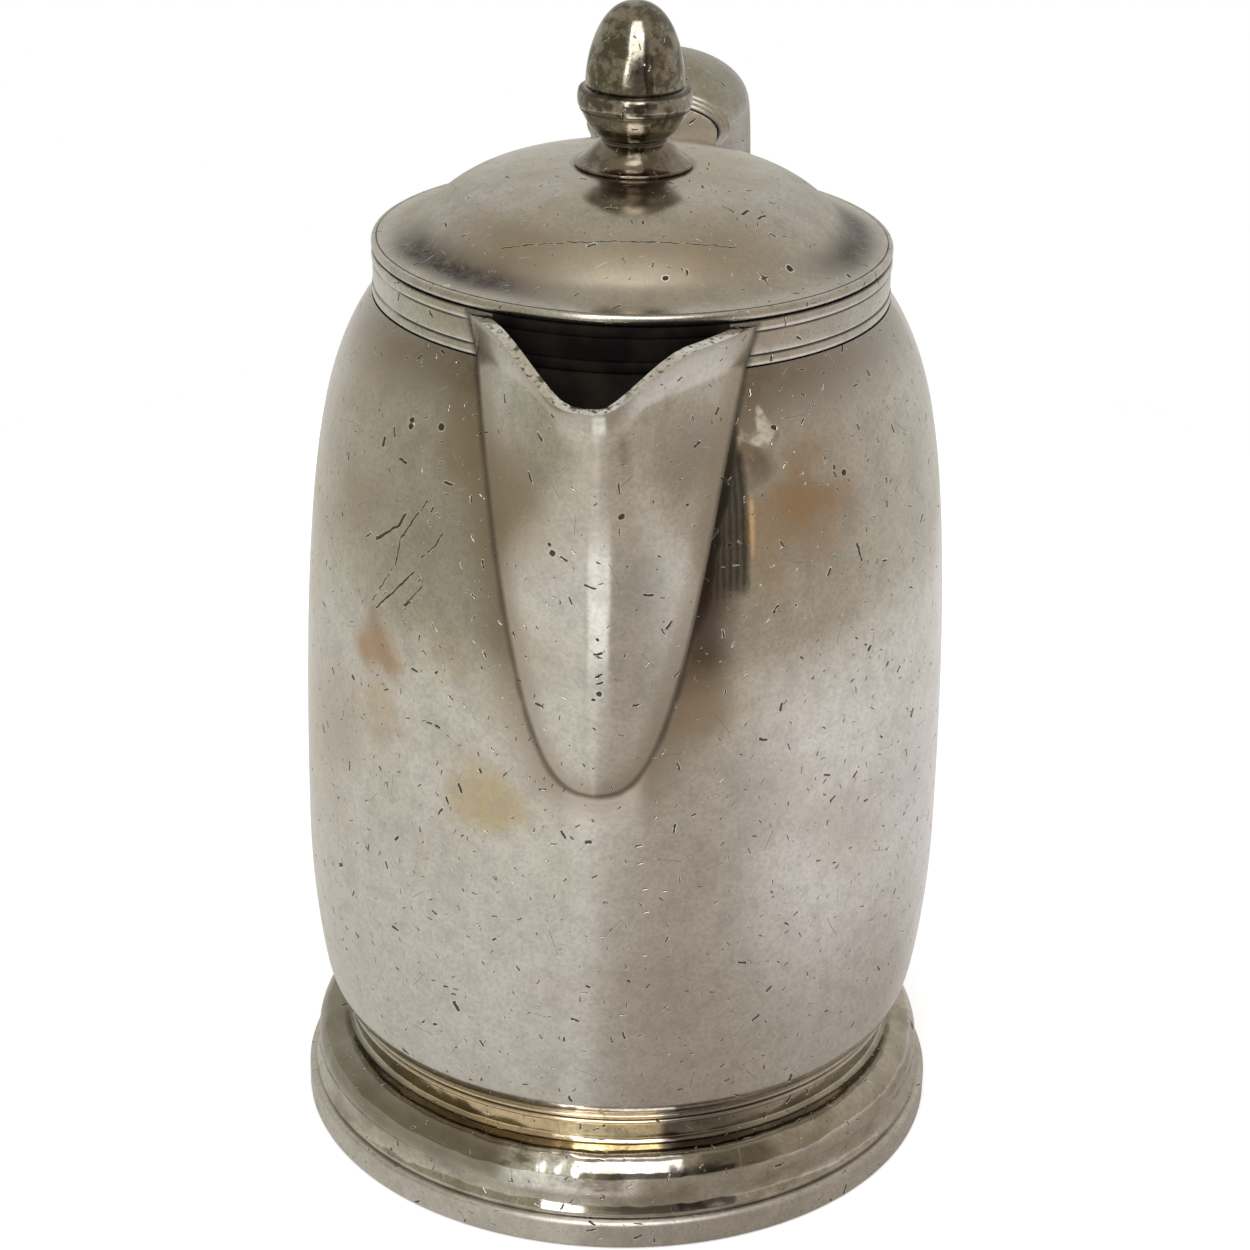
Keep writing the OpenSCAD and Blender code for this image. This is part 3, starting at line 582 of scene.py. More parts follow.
def reed_stains(finish, place, base):
    side = bearing(place)
    broad, bright = front_gold_and_highlight(side)
    # A gold tint on the front, with a painted highlight down its middle and a painted dark reflection to its
    # right.
    base = finish.mix(broad * 0.8, base, REED_GOLD)
    base = finish.mix(bright, base, REED_PAINTED_HIGHLIGHT)
    return finish.mix(side.step(12.5, 15) * side.step(50, 26) * 0.6, base, REED_PAINTED_DARK_REFLECTION)


coat(reeds, silver(
    "reed_silver", shine=0.16, tarnish=0.8, wear=0.4, colour=(0.60, 0.57, 0.50), dents=0.05,
    add_stains=reed_stains, add_dirt_and_shade=reed_dirt))
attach(reeds, "pot")
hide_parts("reeded_wire")

# ---- Bottom plate ----
# A thin spun plate is soldered in and closes the body above the foot.
# It is only seen from below, and is left as it came from the lathe.
coat(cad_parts["base_plate"], silver("plate_silver", shine=0.35, tarnish=1.4, wear=0.3))

# ---- Body ----
# The body is spun from sheet: widest low down, drawn in at the shoulder to the mouth.
# It has knocks and short cuts all over, and small holes behind the spout hold back the grounds.
BELLY_R = 45.3
BELLY_Z = 46.0
BASE_R = 40.6
MOUTH_R = 35.1
COLLAR_Z = 123.9
SEAT_Z = 130.0
BODY_SHEET = 1.2
HOLE_R = 1.6
HOLE_PITCH = 5.0
HOLE_Z = 94.0
SPOUT_TIP_Z = 69.7
SPOUT_WIDTH = 36.8
SPOUT_CURVE = 0.36
SPOUT_SPREAD = 0.08
SPREAD_POWER = 6


def body_radius(z):
    if z >= BELLY_Z:
        t = min(1, (z - BELLY_Z) / (COLLAR_Z - BELLY_Z))
        return BELLY_R - (BELLY_R - MOUTH_R) * (0.52 * t**2.5 + 0.48 * t**9)
    t = (BELLY_Z - z) / (BELLY_Z - BASE_Z)
    return BELLY_R - (BELLY_R - BASE_R) * (0.62 * t**2 + 0.38 * t**16)


def modify(piece, kind, **settings):
    """Adds a modifier, sets it up and applies it."""
    bpy.context.view_layer.objects.active = piece
    modifier = piece.modifiers.new(kind.lower(), kind)
    for name, setting in settings.items():
        setattr(modifier, name, setting)
    bpy.ops.object.modifier_apply(modifier=modifier.name)


skirt = [BASE_Z + (BELLY_Z - BASE_Z) * (i / 24) ** 1.6 for i in range(24)]
shoulder = [COLLAR_Z - (COLLAR_Z - BELLY_Z) * (1 - i / 52) ** 1.5 for i in range(53)]
outside = [(body_radius(z), z) for z in skirt + shoulder]
inside = [(r - BODY_SHEET, z) for r, z in reversed(outside)]
body = turned("body_sheet", outside + inside + outside[:1], steps=256)

holes = []
for row in range(5):
    count = 3 + row % 2
    for i in range(count):
        x = (i - (count - 1) / 2) * HOLE_PITCH
        z = HOLE_Z + row * HOLE_PITCH * math.sin(math.radians(60))
        bpy.ops.mesh.primitive_cylinder_add(
            vertices=32, radius=HOLE_R * mm, depth=30 * mm,
            location=(x * mm, -MOUTH_R * mm, z * mm), rotation=(math.pi / 2, 0, 0))
        holes.append(bpy.context.object)
for hole in holes:
    hole.select_set(True)
bpy.context.view_layer.objects.active = holes[0]
bpy.ops.object.join()
drill = bpy.context.object
modify(body, "BOOLEAN", object=drill, solver="EXACT")
bpy.data.objects.remove(drill)


def beside_spout(place):
    """About how far a point lies outside the spout's seam, in millimetres. Less than 0 is behind it."""
    height = (place.axis("Z") / mm - SPOUT_TIP_Z) / (SEAT_Z - SPOUT_TIP_Z)
    spread = height.most(0) ** (SPREAD_POWER - SPOUT_CURVE) * SPOUT_SPREAD
    spread = (spread + (1 - SPOUT_SPREAD)) * (SPOUT_WIDTH / 2)
    side = abs(place.axis("X") / mm) / spread
    steep = side ** (1 / SPOUT_CURVE - 1) / spread / SPOUT_CURVE
    slope = (steep * steep + (SEAT_Z - SPOUT_TIP_Z) ** -2) ** 0.5
    away = (side ** (1 / SPOUT_CURVE) - height) / slope
    return away + place.axis("Y").step(-1 * mm, 0) * 100


def body_dirt_and_shade(finish, place):
    # Dark along the spout's seam, where the joint is dirty; on the upper right the band is wider and darker,
    # a painted shadow cast by the spout.
    uneven = finish.noise(place, 5 * mm, Detail=3)
    height = place.axis("Z") / mm
    right = place.axis("X").step(8 * mm, 14 * mm) * height.step(84, 98) * height.step(122, 114)
    return (beside_spout(place) - uneven * (0.8 + right * 1.0)).step(0.35, -0.35) * (0.6 + right * 0.3)


def body_haze(finish, place):
    """One patch to the right of the spout still has its polish."""
    return place.gap((17, -38, 104)).step(19, 13) * -0.1


# Each long scratch goes through points in millimetres, and has half its width.
LONG_SCRATCHES = [
    ([(-22.9, -35.3, 105.7), (-24.9, -34.6, 102.6), (-26.7, -33.8, 99.6), (-27.3, -33.7, 96.0)], 0.2),
    ([(-25.9, -33.6, 103.2), (-27.2, -33.2, 101.1), (-30.4, -30.8, 98.3)], 0.32),
    ([(-20.7, -37.3, 102.1), (-21.5, -37.1, 100.5), (-23.6, -36.3, 98.2)], 0.2),
    ([(-27.2, -33.9, 96.6), (-30.9, -31.4, 89.6)], 0.14),
    ([(-24.7, -35.8, 95.9), (-28.0, -33.8, 91.9), (-30.3, -32.0, 89.0)], 0.25),
    ([(-23.3, -36.7, 95.5), (-23.7, -36.7, 94.0), (-26.2, -35.3, 90.9)], 0.16),
    ([(-27.0, -31.2, 109.7), (-26.1, -32.0, 109.6)], 0.3),
    ([(32.2, -28.5, 99.9), (32.9, -28.1, 97.5)], 0.3),
]
# Each deep knock has a centre and half its width, in millimetres.
BODY_KNOCKS = [((-25.6, -30.6, 114.9), 0.7), ((-25.7, -30.9, 114.1), 0.7), ((-21.3, -33.4, 115.2), 0.8),
               ((30.0, -28.3, 109.6), 0.7), ((16.2, -39.3, 103.4), 0.45)]

# Each stain has a place and a size in millimetres, a strength and a colour.
BODY_STAINS = [
    ((25, -33, 107), 11, 0.85, (0.48, 0.31, 0.17)), ((21, -36, 100), 8, 0.5, (0.48, 0.36, 0.22)),
    ((-30, -33, 83), 6.5, 0.9, (0.44, 0.28, 0.14)), ((-31, -33, 74), 7, 0.5, (0.50, 0.38, 0.20)),
    ((-14, -43, 66), 8, 0.75, (0.54, 0.42, 0.20)), ((13, -42, 83), 9, 0.75, (0.40, 0.28, 0.17)),
    ((13, -41, 98), 6, 0.8, (0.42, 0.24, 0.12)), ((-18, -35, 114), 9, 0.6, (0.42, 0.30, 0.19)),
    ((-20, -39, 85), 5, 0.35, (0.50, 0.40, 0.22)), ((-30, -20, 118), 16, 0.5, (0.44, 0.36, 0.25)),
    ((18.5, -36, 115), 4, 0.8, (0.20, 0.14, 0.09)),
]

PAINTED_GLINT_SPOT = (18.2, -34.4, 117.4)
LOW_SILVER = (0.66, 0.635, 0.605)
SEAM_BROWN = (0.30, 0.22, 0.14)
SHADE_UNDER_COLLAR_BROWN = (0.20, 0.15, 0.11)


def stained(place, base, stains):
    for centre, size, strength, colour in stains:
        base = place.finish.mix(place.gap(centre).step(size, size * 0.2) * strength, base, colour)
    return base


def body_stains(finish, place, base):
    base = finish.mix((place.axis("Z") / mm).step(64, 44) * 0.65, base, LOW_SILVER)
    shifted = strayed(finish, place, 9 * mm, 14 * mm, 4)
    base = stained(shifted, base, BODY_STAINS)
    beside = beside_spout(place)
    base = finish.mix(beside.step(5, 0) * 0.7, base, SEAM_BROWN)
    # Painted shade on the shoulder just under the collar, deepest beside the spout.
    painted_shade_under_collar = (place.axis("Z") / mm).step(115, 123) * beside.step(22, 4)
    base = finish.mix(painted_shade_under_collar * 0.75, base, SHADE_UNDER_COLLAR_BROWN)
    # A small painted glint to the right of the spout, under the collar.
    return finish.mix(shifted.gap(PAINTED_GLINT_SPOT).step(1.7, 1.0), base, PAINTED_HIGHLIGHT_WHITE)


def spout_half(z):
    """Half the width of the spout's print on the body."""
    t = max(0, z - SPOUT_TIP_Z) / (SEAT_Z - SPOUT_TIP_Z)
    return SPOUT_WIDTH / 2 * ((1 - SPOUT_SPREAD) * t**SPOUT_CURVE + SPOUT_SPREAD * t**SPREAD_POWER)


def blacken(piece, hidden):
    """Gives the coffee crust and painted shade to the faces for which hidden(centre, facing) is true, in
    millimetres.
    """
    piece.data.materials.append(coffee_crust_and_shade.owner)
    for face in piece.data.polygons:
        if hidden(face.center / mm, face.normal):
            face.material_index = 1


def behind_spout(centre):
    return centre.y < 0 and centre.z > SPOUT_TIP_Z + 2 and abs(centre.x) < spout_half(centre.z) - 1.3


def in_body(centre, facing):
    return behind_spout(centre) or centre.xy.length < body_radius(centre.z) - BODY_SHEET / 2


# Years of coffee have left a dull black crust inside the pot and its spout; its near-black is also painted
# shade for the unlit inside.
COFFEE_AND_SHADE_BLACK = (0.005, 0.004, 0.004)
COFFEE_AND_SHADE_BROWN = (0.014, 0.011, 0.008)
coffee_crust_and_shade = Finish(bpy.data.materials.new("coffee_crust_and_shade"))
crust = coffee_crust_and_shade.noise(coffee_crust_and_shade.add("TexCoord", output="Object"), 4 * mm, Detail=5)
brown = coffee_crust_and_shade.mix(crust.step(0.35, 0.75), COFFEE_AND_SHADE_BLACK, COFFEE_AND_SHADE_BROWN)
values = {"Base Color": brown, "Roughness": crust * 0.4 + 0.5, "Specular IOR Level": 0.03}
coffee_crust_and_shade.add("OutputMaterial", {"Surface": coffee_crust_and_shade.add("BsdfPrincipled", values)})

coat(body, silver(
    "body_silver", shine=0.1, knocks=BODY_KNOCKS, grooves=LONG_SCRATCHES,
    add_stains=body_stains, add_dirt_and_shade=body_dirt_and_shade, add_haze=body_haze))
blacken(body, in_body)
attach(body, "pot")
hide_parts("barrel")

# ---- Collar ----
# The collar is a drawn strip with a reed along each edge, bent round the mouth and soldered on.
# The lid rests on it, and dirt lies beside its reeds.
COLLAR_SHEET = 1.2
COLLAR_REED = 1.5
collar_wall = MOUTH_R - 0.3
collar_bore = MOUTH_R - COLLAR_SHEET
collar_line = reed(collar_wall, COLLAR_Z, COLLAR_Z + COLLAR_REED, 0.3)
band_low = COLLAR_Z + COLLAR_REED
band_high = SEAT_Z - COLLAR_REED
collar_line += [(collar_wall + 0.1, band_low + 0.15), (collar_wall + 0.14, band_low + 0.4),
                (collar_wall + 0.14, band_high - 0.4), (collar_wall + 0.1, band_high - 0.15)]
collar_line += reed(collar_wall, band_high, SEAT_Z, 0.3)
collar_line += [(collar_bore, SEAT_Z), (collar_bore, COLLAR_Z), collar_line[0]]
collar = turned("mouth_collar", collar_line, steps=256)


def collar_dirt(finish, place):
    away = beside_spout(place).step(0.8, 0.1) * 0.6
    grooves = rings(place, (band_low, band_high, COLLAR_Z, SEAT_Z), 0.26, 0.08) * 0.8
    worn = finish.noise(place, 14 * mm, Detail=2).step(0.3, 0.5)
    return away.most(grooves * worn)


def in_collar(centre, facing):
    return abs(centre.x) < spout_half(centre.z) - 3.5 and centre.y < 0 or centre.xy.length < collar_bore + 0.1


coat(collar, silver("collar_silver", shine=0.14, tarnish=0.7, wear=0.7, add_dirt_and_shade=collar_dirt))
blacken(collar, in_collar)
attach(collar, "pot")
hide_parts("collar")

# ---- Spout ----
# The spout is raised from sheet to a blunt keel, scooped at the lip and soldered over the strainer.
# Its lip is filed by hand, so its dip lies a little to one side, and the edge is thick, worn bare and given a
# painted highlight where it faces up; painted shade lies just below it.
SPOUT_SHEET = 1.5
LIP_Z = 123.2
LIP_SIDE = -2.1
LIP_FLAT = 1.6
LIP_SLOPE = 11.8
LIP_FLARE = 0.3
FLARE_HEIGHT = 5.5
LIP_RISE = 6.3
LIP_REACH = 12.9
TIP_ROUND = 0.8
NOSE_ROUND = 3.0
SPOUT_PROUD = 0.4
SPOUT_COLUMNS = 72
SPOUT_ROWS = 90


def ease(t):
    t = min(1, max(0, t))
    return t * t * (3 - 2 * t)


def lip_height(x):
    return LIP_Z + LIP_RISE * ease((abs(x - LIP_SIDE) - LIP_FLAT) / LIP_SLOPE)


def nose_reach(z):
    start = body_radius(SPOUT_TIP_Z) + SPOUT_PROUD
    return start + (z - SPOUT_TIP_Z) * (MOUTH_R + LIP_REACH - start) / (LIP_Z - SPOUT_TIP_Z)


def spout_point(across, along):
    """A point of the spout, with across from -1 to 1 and along from 0 at its tip to 1 at the lip."""
    top = SEAT_Z
    for _ in range(12):
        top = lip_height(across * spout_half(top))
    z = SPOUT_TIP_Z + 0.02 + (top - SPOUT_TIP_Z - 0.02) * along**1.7
    half = spout_half(z)
    depth = nose_reach(z) - math.sqrt(body_radius(z) ** 2 - half**2)
    x = across * half * 1.02
    blunt = TIP_ROUND + (NOSE_ROUND - TIP_ROUND) * ease((z - 92) / 16)
    round_off = blunt * depth
    steep = depth * math.sqrt(1 + 2 * blunt) / half
    back = math.sqrt(round_off**2 + (steep * x) ** 2) - round_off
    flare = LIP_FLARE * max(0, 1 - (top - z) / FLARE_HEIGHT) ** 3 * (1 - across**4)
    return Vector((x, back - nose_reach(z) - flare, z)) * mm


def shaped(name, columns, rows, point):
    """Adds a grid and moves each of its points to where point(across, along) says."""
    bpy.ops.mesh.primitive_grid_add(x_subdivisions=columns, y_subdivisions=rows, size=2)
    piece = bpy.context.object
    piece.name = name
    for vertex in piece.data.vertices:
        vertex.co = point(vertex.co.x, (vertex.co.y + 1) / 2)
    return piece


spout = shaped("spout_sheet", SPOUT_COLUMNS, SPOUT_ROWS, spout_point)
modify(spout, "SOLIDIFY", thickness=SPOUT_SHEET * mm, offset=-1, use_even_offset=True)
modify(spout, "BEVEL", width=0.75 * mm, segments=4, limit_method="ANGLE", angle_limit=math.radians(60))
smooth(40)


def spout_dirt(finish, place):
    return beside_spout(place).step(-0.7, 0.0) * (0.4 + finish.noise(place, 5 * mm, Detail=3) * 0.5)


def in_spout(centre, facing):
    return facing.y > 0.15 and facing.z < 0.35


SPOUT_NICKS = [
    ([(-3.7, -46.1, 98.7), (-3.1, -46.3, 97.2)], 0.28), ([(-1.4, -46.8, 100.0), (-0.2, -46.9, 99.7)], 0.25),
    ([(5.9, -45.4, 98.6), (6.9, -44.8, 98.4)], 0.28), ([(-0.1, -46.4, 90.4), (0.8, -46.4, 90.6)], 0.3),
    ([(0.3, -46.2, 86.3), (1.0, -46.2, 86.5)], 0.25), ([(8.1, -44.1, 93.4), (8.6, -43.8, 92.3)], 0.22),
]
SPOUT_KNOCKS = [((-5.6, -45.7, 103.8), 0.75), ((-6.1, -45.6, 104.8), 0.45), ((3.0, -46.9, 109.6), 0.6),
                ((0.2, -46.5, 92.6), 0.4), ((0.5, -46.1, 84.9), 0.65), ((-0.2, -46.1, 83.9), 0.4),
                ((10.8, -42.3, 109.8), 0.4)]
# Stains of the spout, written as the body's are.
SPOUT_STAINS = [
    ((-13, -40, 109), 11, 0.75, (0.42, 0.31, 0.21)), ((-9, -47, 104), 8, 0.4, (0.45, 0.36, 0.25)),
    ((12, -42, 116), 8, 0.55, (0.36, 0.32, 0.28)), ((-11, -43, 88), 9, 0.4, (0.50, 0.42, 0.32)),
    ((6, -46, 99), 8, 0.45, (0.42, 0.42, 0.37)), ((7, -45, 88), 8, 0.35, (0.48, 0.48, 0.44)),
]

SPOUT_EDGE_BROWN = (0.33, 0.25, 0.17)
SHADE_BELOW_LIP_BROWN = (0.30, 0.27, 0.22)
LIP_WORN_AND_HIGHLIGHT_WHITE = (0.86, 0.85, 0.82)


def spout_stains(finish, place, base):
    base = stained(strayed(finish, place, 8 * mm, 8 * mm, 4), base, SPOUT_STAINS)
    beside = beside_spout(place)
    base = finish.mix(beside.step(-4.5, -0.5) * 0.55, base, SPOUT_EDGE_BROWN)
    # Painted shade in a band just below the lip, and on the edge where it faces up a painted highlight over
    # worn bare silver.
    aside = abs(place.axis("X") / mm - LIP_SIDE)
    lip = LIP_Z + LIP_RISE * aside.step(LIP_FLAT, LIP_FLAT + LIP_SLOPE)
    painted_shade_below_lip = (lip - place.axis("Z") / mm).step(3.4, 0.4)
    base = finish.mix(painted_shade_below_lip * 0.4, base, SHADE_BELOW_LIP_BROWN)
    edge = finish.add("TexCoord", output="Normal").axis("Z").step(0.2, 0.5)
    pitted = finish.noise(place, 0.9 * mm, Detail=4)
    base = finish.mix(edge * pitted.step(0.62, 0.5), base, LIP_WORN_AND_HIGHLIGHT_WHITE)
    return finish.mix(edge * pitted.step(0.58, 0.64) * 0.8, base, DIRT_AND_SHADE)


coat(spout, silver(
    "spout_silver", shine=0.09, tarnish=0.7, wear=0.7, knocks=SPOUT_KNOCKS, grooves=SPOUT_NICKS,
    add_stains=spout_stains, add_dirt_and_shade=spout_dirt))
blacken(spout, in_spout)
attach(spout, "pot")
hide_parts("spout")

# ---- Handle bracket ----
# A cast bracket on the shoulder holds the hinge in a pocket and carries the handle's upper socket.
# It is filed to fit the body's curve and soldered on.


def eased_copy(node, name, edge):
    """A copy of a CAD node with its triangles joined and its edges rounded off."""
    bpy.ops.object.select_all(action="DESELECT")
    piece = bpy.data.objects.new(name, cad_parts[node].data.copy())
    bpy.context.scene.collection.objects.link(piece)
    piece.select_set(True)
    bpy.context.view_layer.objects.active = piece
    edit_mesh(remove_doubles={"threshold": 0.003 * mm}, dissolve_limited={"angle_limit": math.radians(1)})
    if edge:
        modify(piece, "BEVEL", width=edge * mm, segments=3,
               limit_method="ANGLE", angle_limit=math.radians(40))
    smooth(30)
    return piece


bracket = eased_copy("handle_bracket", "handle_bracket_casting", 0.35)
coat(bracket, silver("cast_silver", shine=0.32, tarnish=1.2, wear=0.6))
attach(bracket, "pot")
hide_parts("handle_bracket")

# ---- Handle sockets ----
# Each end of the handle enters an oval sleeve with three reeds.
# The upper one is soldered to the bracket, and the lower one to the body.
SOCKET_A = 10.8
SOCKET_B = 5.7
SOCKET_Y = 42.0
SOCKET_Z = 134.8
SOCKET_LENGTH = 3.5
SOCKET_SLEEVE = 1.8
SOCKET_TAPER = 1.2
FOOT_SOCKET_A = 9.4
FOOT_SOCKET_B = 6.2
HANDLE_FOOT_Z = 50.0
HANDLE_END_Y = body_radius(HANDLE_FOOT_Z) + SOCKET_LENGTH - 0.3
REED_DEPTH = 0.5


def sleeve(name, a, b, front, back, z, thickness, taper=0.0):
    """An oval sleeve with three reeds, from y = front to y = back. Taper is how much less its front is."""

    def point(across, along):
        turn = math.pi * across
        cut = REED_DEPTH * (1 - abs(math.sin(3 * math.pi * along)) ** 0.8) + taper * (1 - along)
        y = front + (back - front) * along
        return Vector(((a - cut) * math.cos(turn), y, z + (b - cut) * math.sin(turn))) * mm

    piece = shaped(name, 96, 48, point)
    edit_mesh(remove_doubles={"threshold": 0.003 * mm}, normals_make_consistent={"inside": False})
    modify(piece, "SOLIDIFY", thickness=thickness * mm, offset=-1)
    smooth(50)
    return piece


def groove_dirt(start, length):
    """Dirt in the two grooves between three reeds, and at both ends of them."""

    def dirt(finish, place):
        along = (place.axis("Y") / mm - start) / length * 3
        groove = abs(along - finish.add("Math", {0: along}, operation="ROUND"))
        return groove.step(0.16, 0.03) * 0.7

    return dirt


upper_socket = sleeve("upper_reeded_socket", SOCKET_A, SOCKET_B, SOCKET_Y, SOCKET_Y + SOCKET_LENGTH,
                      SOCKET_Z, SOCKET_SLEEVE, SOCKET_TAPER)
coat(upper_socket, silver(
    "socket_silver", shine=0.28, tarnish=0.8, wear=0.5, colour=(0.46, 0.43, 0.39),
    add_dirt_and_shade=groove_dirt(SOCKET_Y, SOCKET_LENGTH)))
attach(upper_socket, "pot")
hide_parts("upper_socket")

foot_socket_front = body_radius(HANDLE_FOOT_Z) - 1.6
lower_socket = sleeve("lower_reeded_socket", FOOT_SOCKET_A, FOOT_SOCKET_B, foot_socket_front, HANDLE_END_Y,
                      HANDLE_FOOT_Z, SOCKET_SLEEVE)
coat(lower_socket, silver(
    "lower_socket_silver", shine=0.28, tarnish=0.8, wear=0.5,
    add_dirt_and_shade=groove_dirt(foot_socket_front, HANDLE_END_Y - foot_socket_front)))
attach(lower_socket, "pot")
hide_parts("lower_socket")

# ---- Handle ----
# The hollow handle is stamped in two halves, right and left, that are soldered down the middle.
# It rises from its upper socket, turns down at the shoulder and runs back in to the lower one.
HANDLE_A = 12.6
HANDLE_CROWN = 8.0
HANDLE_BELLY = 5.2
HANDLE_SHEET = 1.0
HANDLE_OUT = 80.0
HANDLE_Y = SOCKET_Y + SOCKET_LENGTH
shoulder_end = (HANDLE_OUT - 10, SOCKET_Z - 6.3)
side_end = (HANDLE_OUT - 1, SOCKET_Z - 35.8)
handle_curves = [
    [(HANDLE_Y, SOCKET_Z), (HANDLE_Y + 5.5, SOCKET_Z + 2.8), (HANDLE_OUT - 18, SOCKET_Z + 1.6), shoulder_end],
    [shoulder_end, (shoulder_end[0] + 7, shoulder_end[1] - 6.9), (HANDLE_OUT, SOCKET_Z - 22.8), side_end],
    [side_end, (side_end[0] - 1.5, side_end[1] - 19.5), (HANDLE_OUT - 12, HANDLE_FOOT_Z),
     (HANDLE_END_Y, HANDLE_FOOT_Z)],
]
HANDLE_STEPS = 40
handle_path = [curve(points, HANDLE_STEPS) for points in handle_curves]
handle_path = handle_path[0] + handle_path[1][1:] + handle_path[2][1:]
handle_last = len(handle_path) - 1


def handle_turn(i):
    """The direction of the handle's middle line at step i; it meets its sockets squarely."""
    if i == handle_last:
        return -math.pi
    before, after = handle_path[max(i - 1, 0)], handle_path[i + 1]
    turn = math.atan2(after[1] - before[1], after[0] - before[0])
    return turn * min(1, 2.5 * i / HANDLE_STEPS)


def handle_size(t, first, full, last):
    late = ease((t - 0.5) / 0.5)
    return (first + (full - first) * ease(t / 0.14)) * (1 - late) + last * late


def handle_point(across, along):
    i = round(along * handle_last)
    a = handle_size(along, SOCKET_A - 0.4, HANDLE_A, FOOT_SOCKET_A - 0.5)
    crown = handle_size(along, SOCKET_B - 0.4, HANDLE_CROWN, FOOT_SOCKET_B - 0.5)
    belly = handle_size(along, SOCKET_B - 0.4, HANDLE_BELLY, FOOT_SOCKET_B - 0.5)
    lean, turn = math.pi / 2 * across, handle_turn(i)
    out = (crown if across > 0 else belly) * math.sin(lean)
    y, z = handle_path[i]
    return Vector((a * math.cos(lean), y - out * math.sin(turn), z + out * math.cos(turn))) * mm


handle_silver = silver("handle_silver", shine=0.3, tarnish=0.9, wear=0.9, colour=(0.42, 0.40, 0.36),
                       dents=0.15)
right_half = shaped("handle_right_shell", 32, handle_last, handle_point)
edit_mesh(flip_normals={})
modify(right_half, "SOLIDIFY", thickness=HANDLE_SHEET * mm, offset=-1)
bpy.ops.object.duplicate()
left_half = bpy.context.object
left_half.name = "handle_left_shell"
bpy.ops.transform.mirror(constraint_axis=(True, False, False), center_override=(0, 0, 0))
bpy.ops.object.transform_apply(location=False, rotation=False, scale=True)
edit_mesh(normals_make_consistent={"inside": False})
for half, node in ((right_half, "handle_right"), (left_half, "handle_left")):
    bpy.context.view_layer.objects.active = half
    smooth(50)
    coat(half, handle_silver)
    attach(half, "pot")
    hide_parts(node)

# ---- Hinge ----
# Five knuckles turn on a riveted pin: three are soldered into the bracket, and two are on the lid.
# The pin, and the screw, washer and nut that hold the finial, are of duller metal.
knuckles = eased_copy("hinge_knuckles", "fixed_knuckles", 0.12)
coat(knuckles, silver("knuckle_silver", shine=0.35, tarnish=1.3, wear=0.5, colour=(0.60, 0.56, 0.50)))
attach(knuckles, "pot")
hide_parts("hinge_knuckles")
leaf = eased_copy("lid_hinge_leaf", "lid_leaf", 0.15)
coat(leaf, silver("leaf_silver", shine=0.3, tarnish=1.2, wear=0.5))
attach(leaf, "lid")
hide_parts("lid_hinge_leaf")
fastening = silver("fastening_metal", shine=0.38, tarnish=1.6, wear=0.3, colour=(0.42, 0.38, 0.31))
for node in ("hinge_pin", "finial_screw", "finial_washer", "finial_nut"):
    coat(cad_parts[node], fastening)

# ---- Lid ----
# The lid is a spun dome that turns down into a hollow cove and ends in a nearly flat flange.
# Dark tarnish lies in the cove, where a cloth doesn't reach.
LID_GAP = 0.25
RIM_HEIGHT = 1.3
DOME_RISE = 10.4
DOME_R = 28.5
DOME_POWER = 4.15
LID_SHEET = 1.1
LID_Z = SEAT_Z + LID_GAP
FLANGE_Z = LID_Z + RIM_HEIGHT / 2
FLANGE_R = MOUTH_R - 0.8
DOME_Z = FLANGE_Z + DOME_RISE
COVE_Z = FLANGE_Z + 2.9
BEZEL_R = MOUTH_R - COLLAR_SHEET - 0.6
BEZEL_SHEET = 0.8


def dome_height(out):
    return DOME_Z - (DOME_Z - COVE_Z) * (out / DOME_R) ** DOME_POWER


dome_line = [(DOME_R * i / 48, dome_height(DOME_R * i / 48)) for i in range(49)]
dome_line += curve([(DOME_R, COVE_Z), (DOME_R + 1.1, COVE_Z - 1.1), (DOME_R + 2.2, FLANGE_Z + 1.25),
                    (FLANGE_R, FLANGE_Z + 0.7)], 20)[1:]
hollow_line = [(r, z - LID_SHEET) for r, z in reversed(dome_line) if r <= DOME_R + 1]
dome_line += [(FLANGE_R, FLANGE_Z), (BEZEL_R - BEZEL_SHEET - 0.3, FLANGE_Z)] + hollow_line
dome = turned("lid_cover", dome_line, steps=256)


def from_axis(place):
    """How far a point lies from the pot's axis, in millimetres."""
    return place.vector("MULTIPLY", (1, 1, 0)).vector("LENGTH", output="Value") / mm


def lid_dirt_and_shade(finish, place):
    out = from_axis(place)
    pedestal = abs(out - 8.1).step(0.7, 0.1) * 0.35
    # Surfaces that face down get painted shade.
    painted_shade_underneath = finish.add("TexCoord", output="Normal").axis("Z").step(-0.1, -0.3) * 0.9
    return pedestal.most(painted_shade_underneath)


def on_dome(x, y):
    """The point of the dome above x and y."""
    return (x, y, dome_height(math.hypot(x, y)))


# A fine crack runs across the front of the dome.
HAIRLINE = [on_dome(x, -23.9 + 0.011 * (x + 2) ** 2) for x in range(-15, 17, 2)]
LID_NICKS = [(HAIRLINE, 0.15), ([on_dome(15.2, -14.4), on_dome(16.0, -13.2)], 0.3),
             ([on_dome(17.3, -14.0), on_dome(18.2, -12.8)], 0.25)]
LID_KNOCKS = [((21.8, -18.8, 133.6), 0.8), ((6.4, -27.3, 134.3), 0.6), ((-21.4, -26.1, 131.2), 0.7)]

COVE_BROWN = (0.30, 0.24, 0.18)
COVE_PURPLE = (0.06, 0.045, 0.05)
FRONT_BROWN = (0.33, 0.26, 0.17)
CROWN_BROWN = (0.42, 0.34, 0.22)


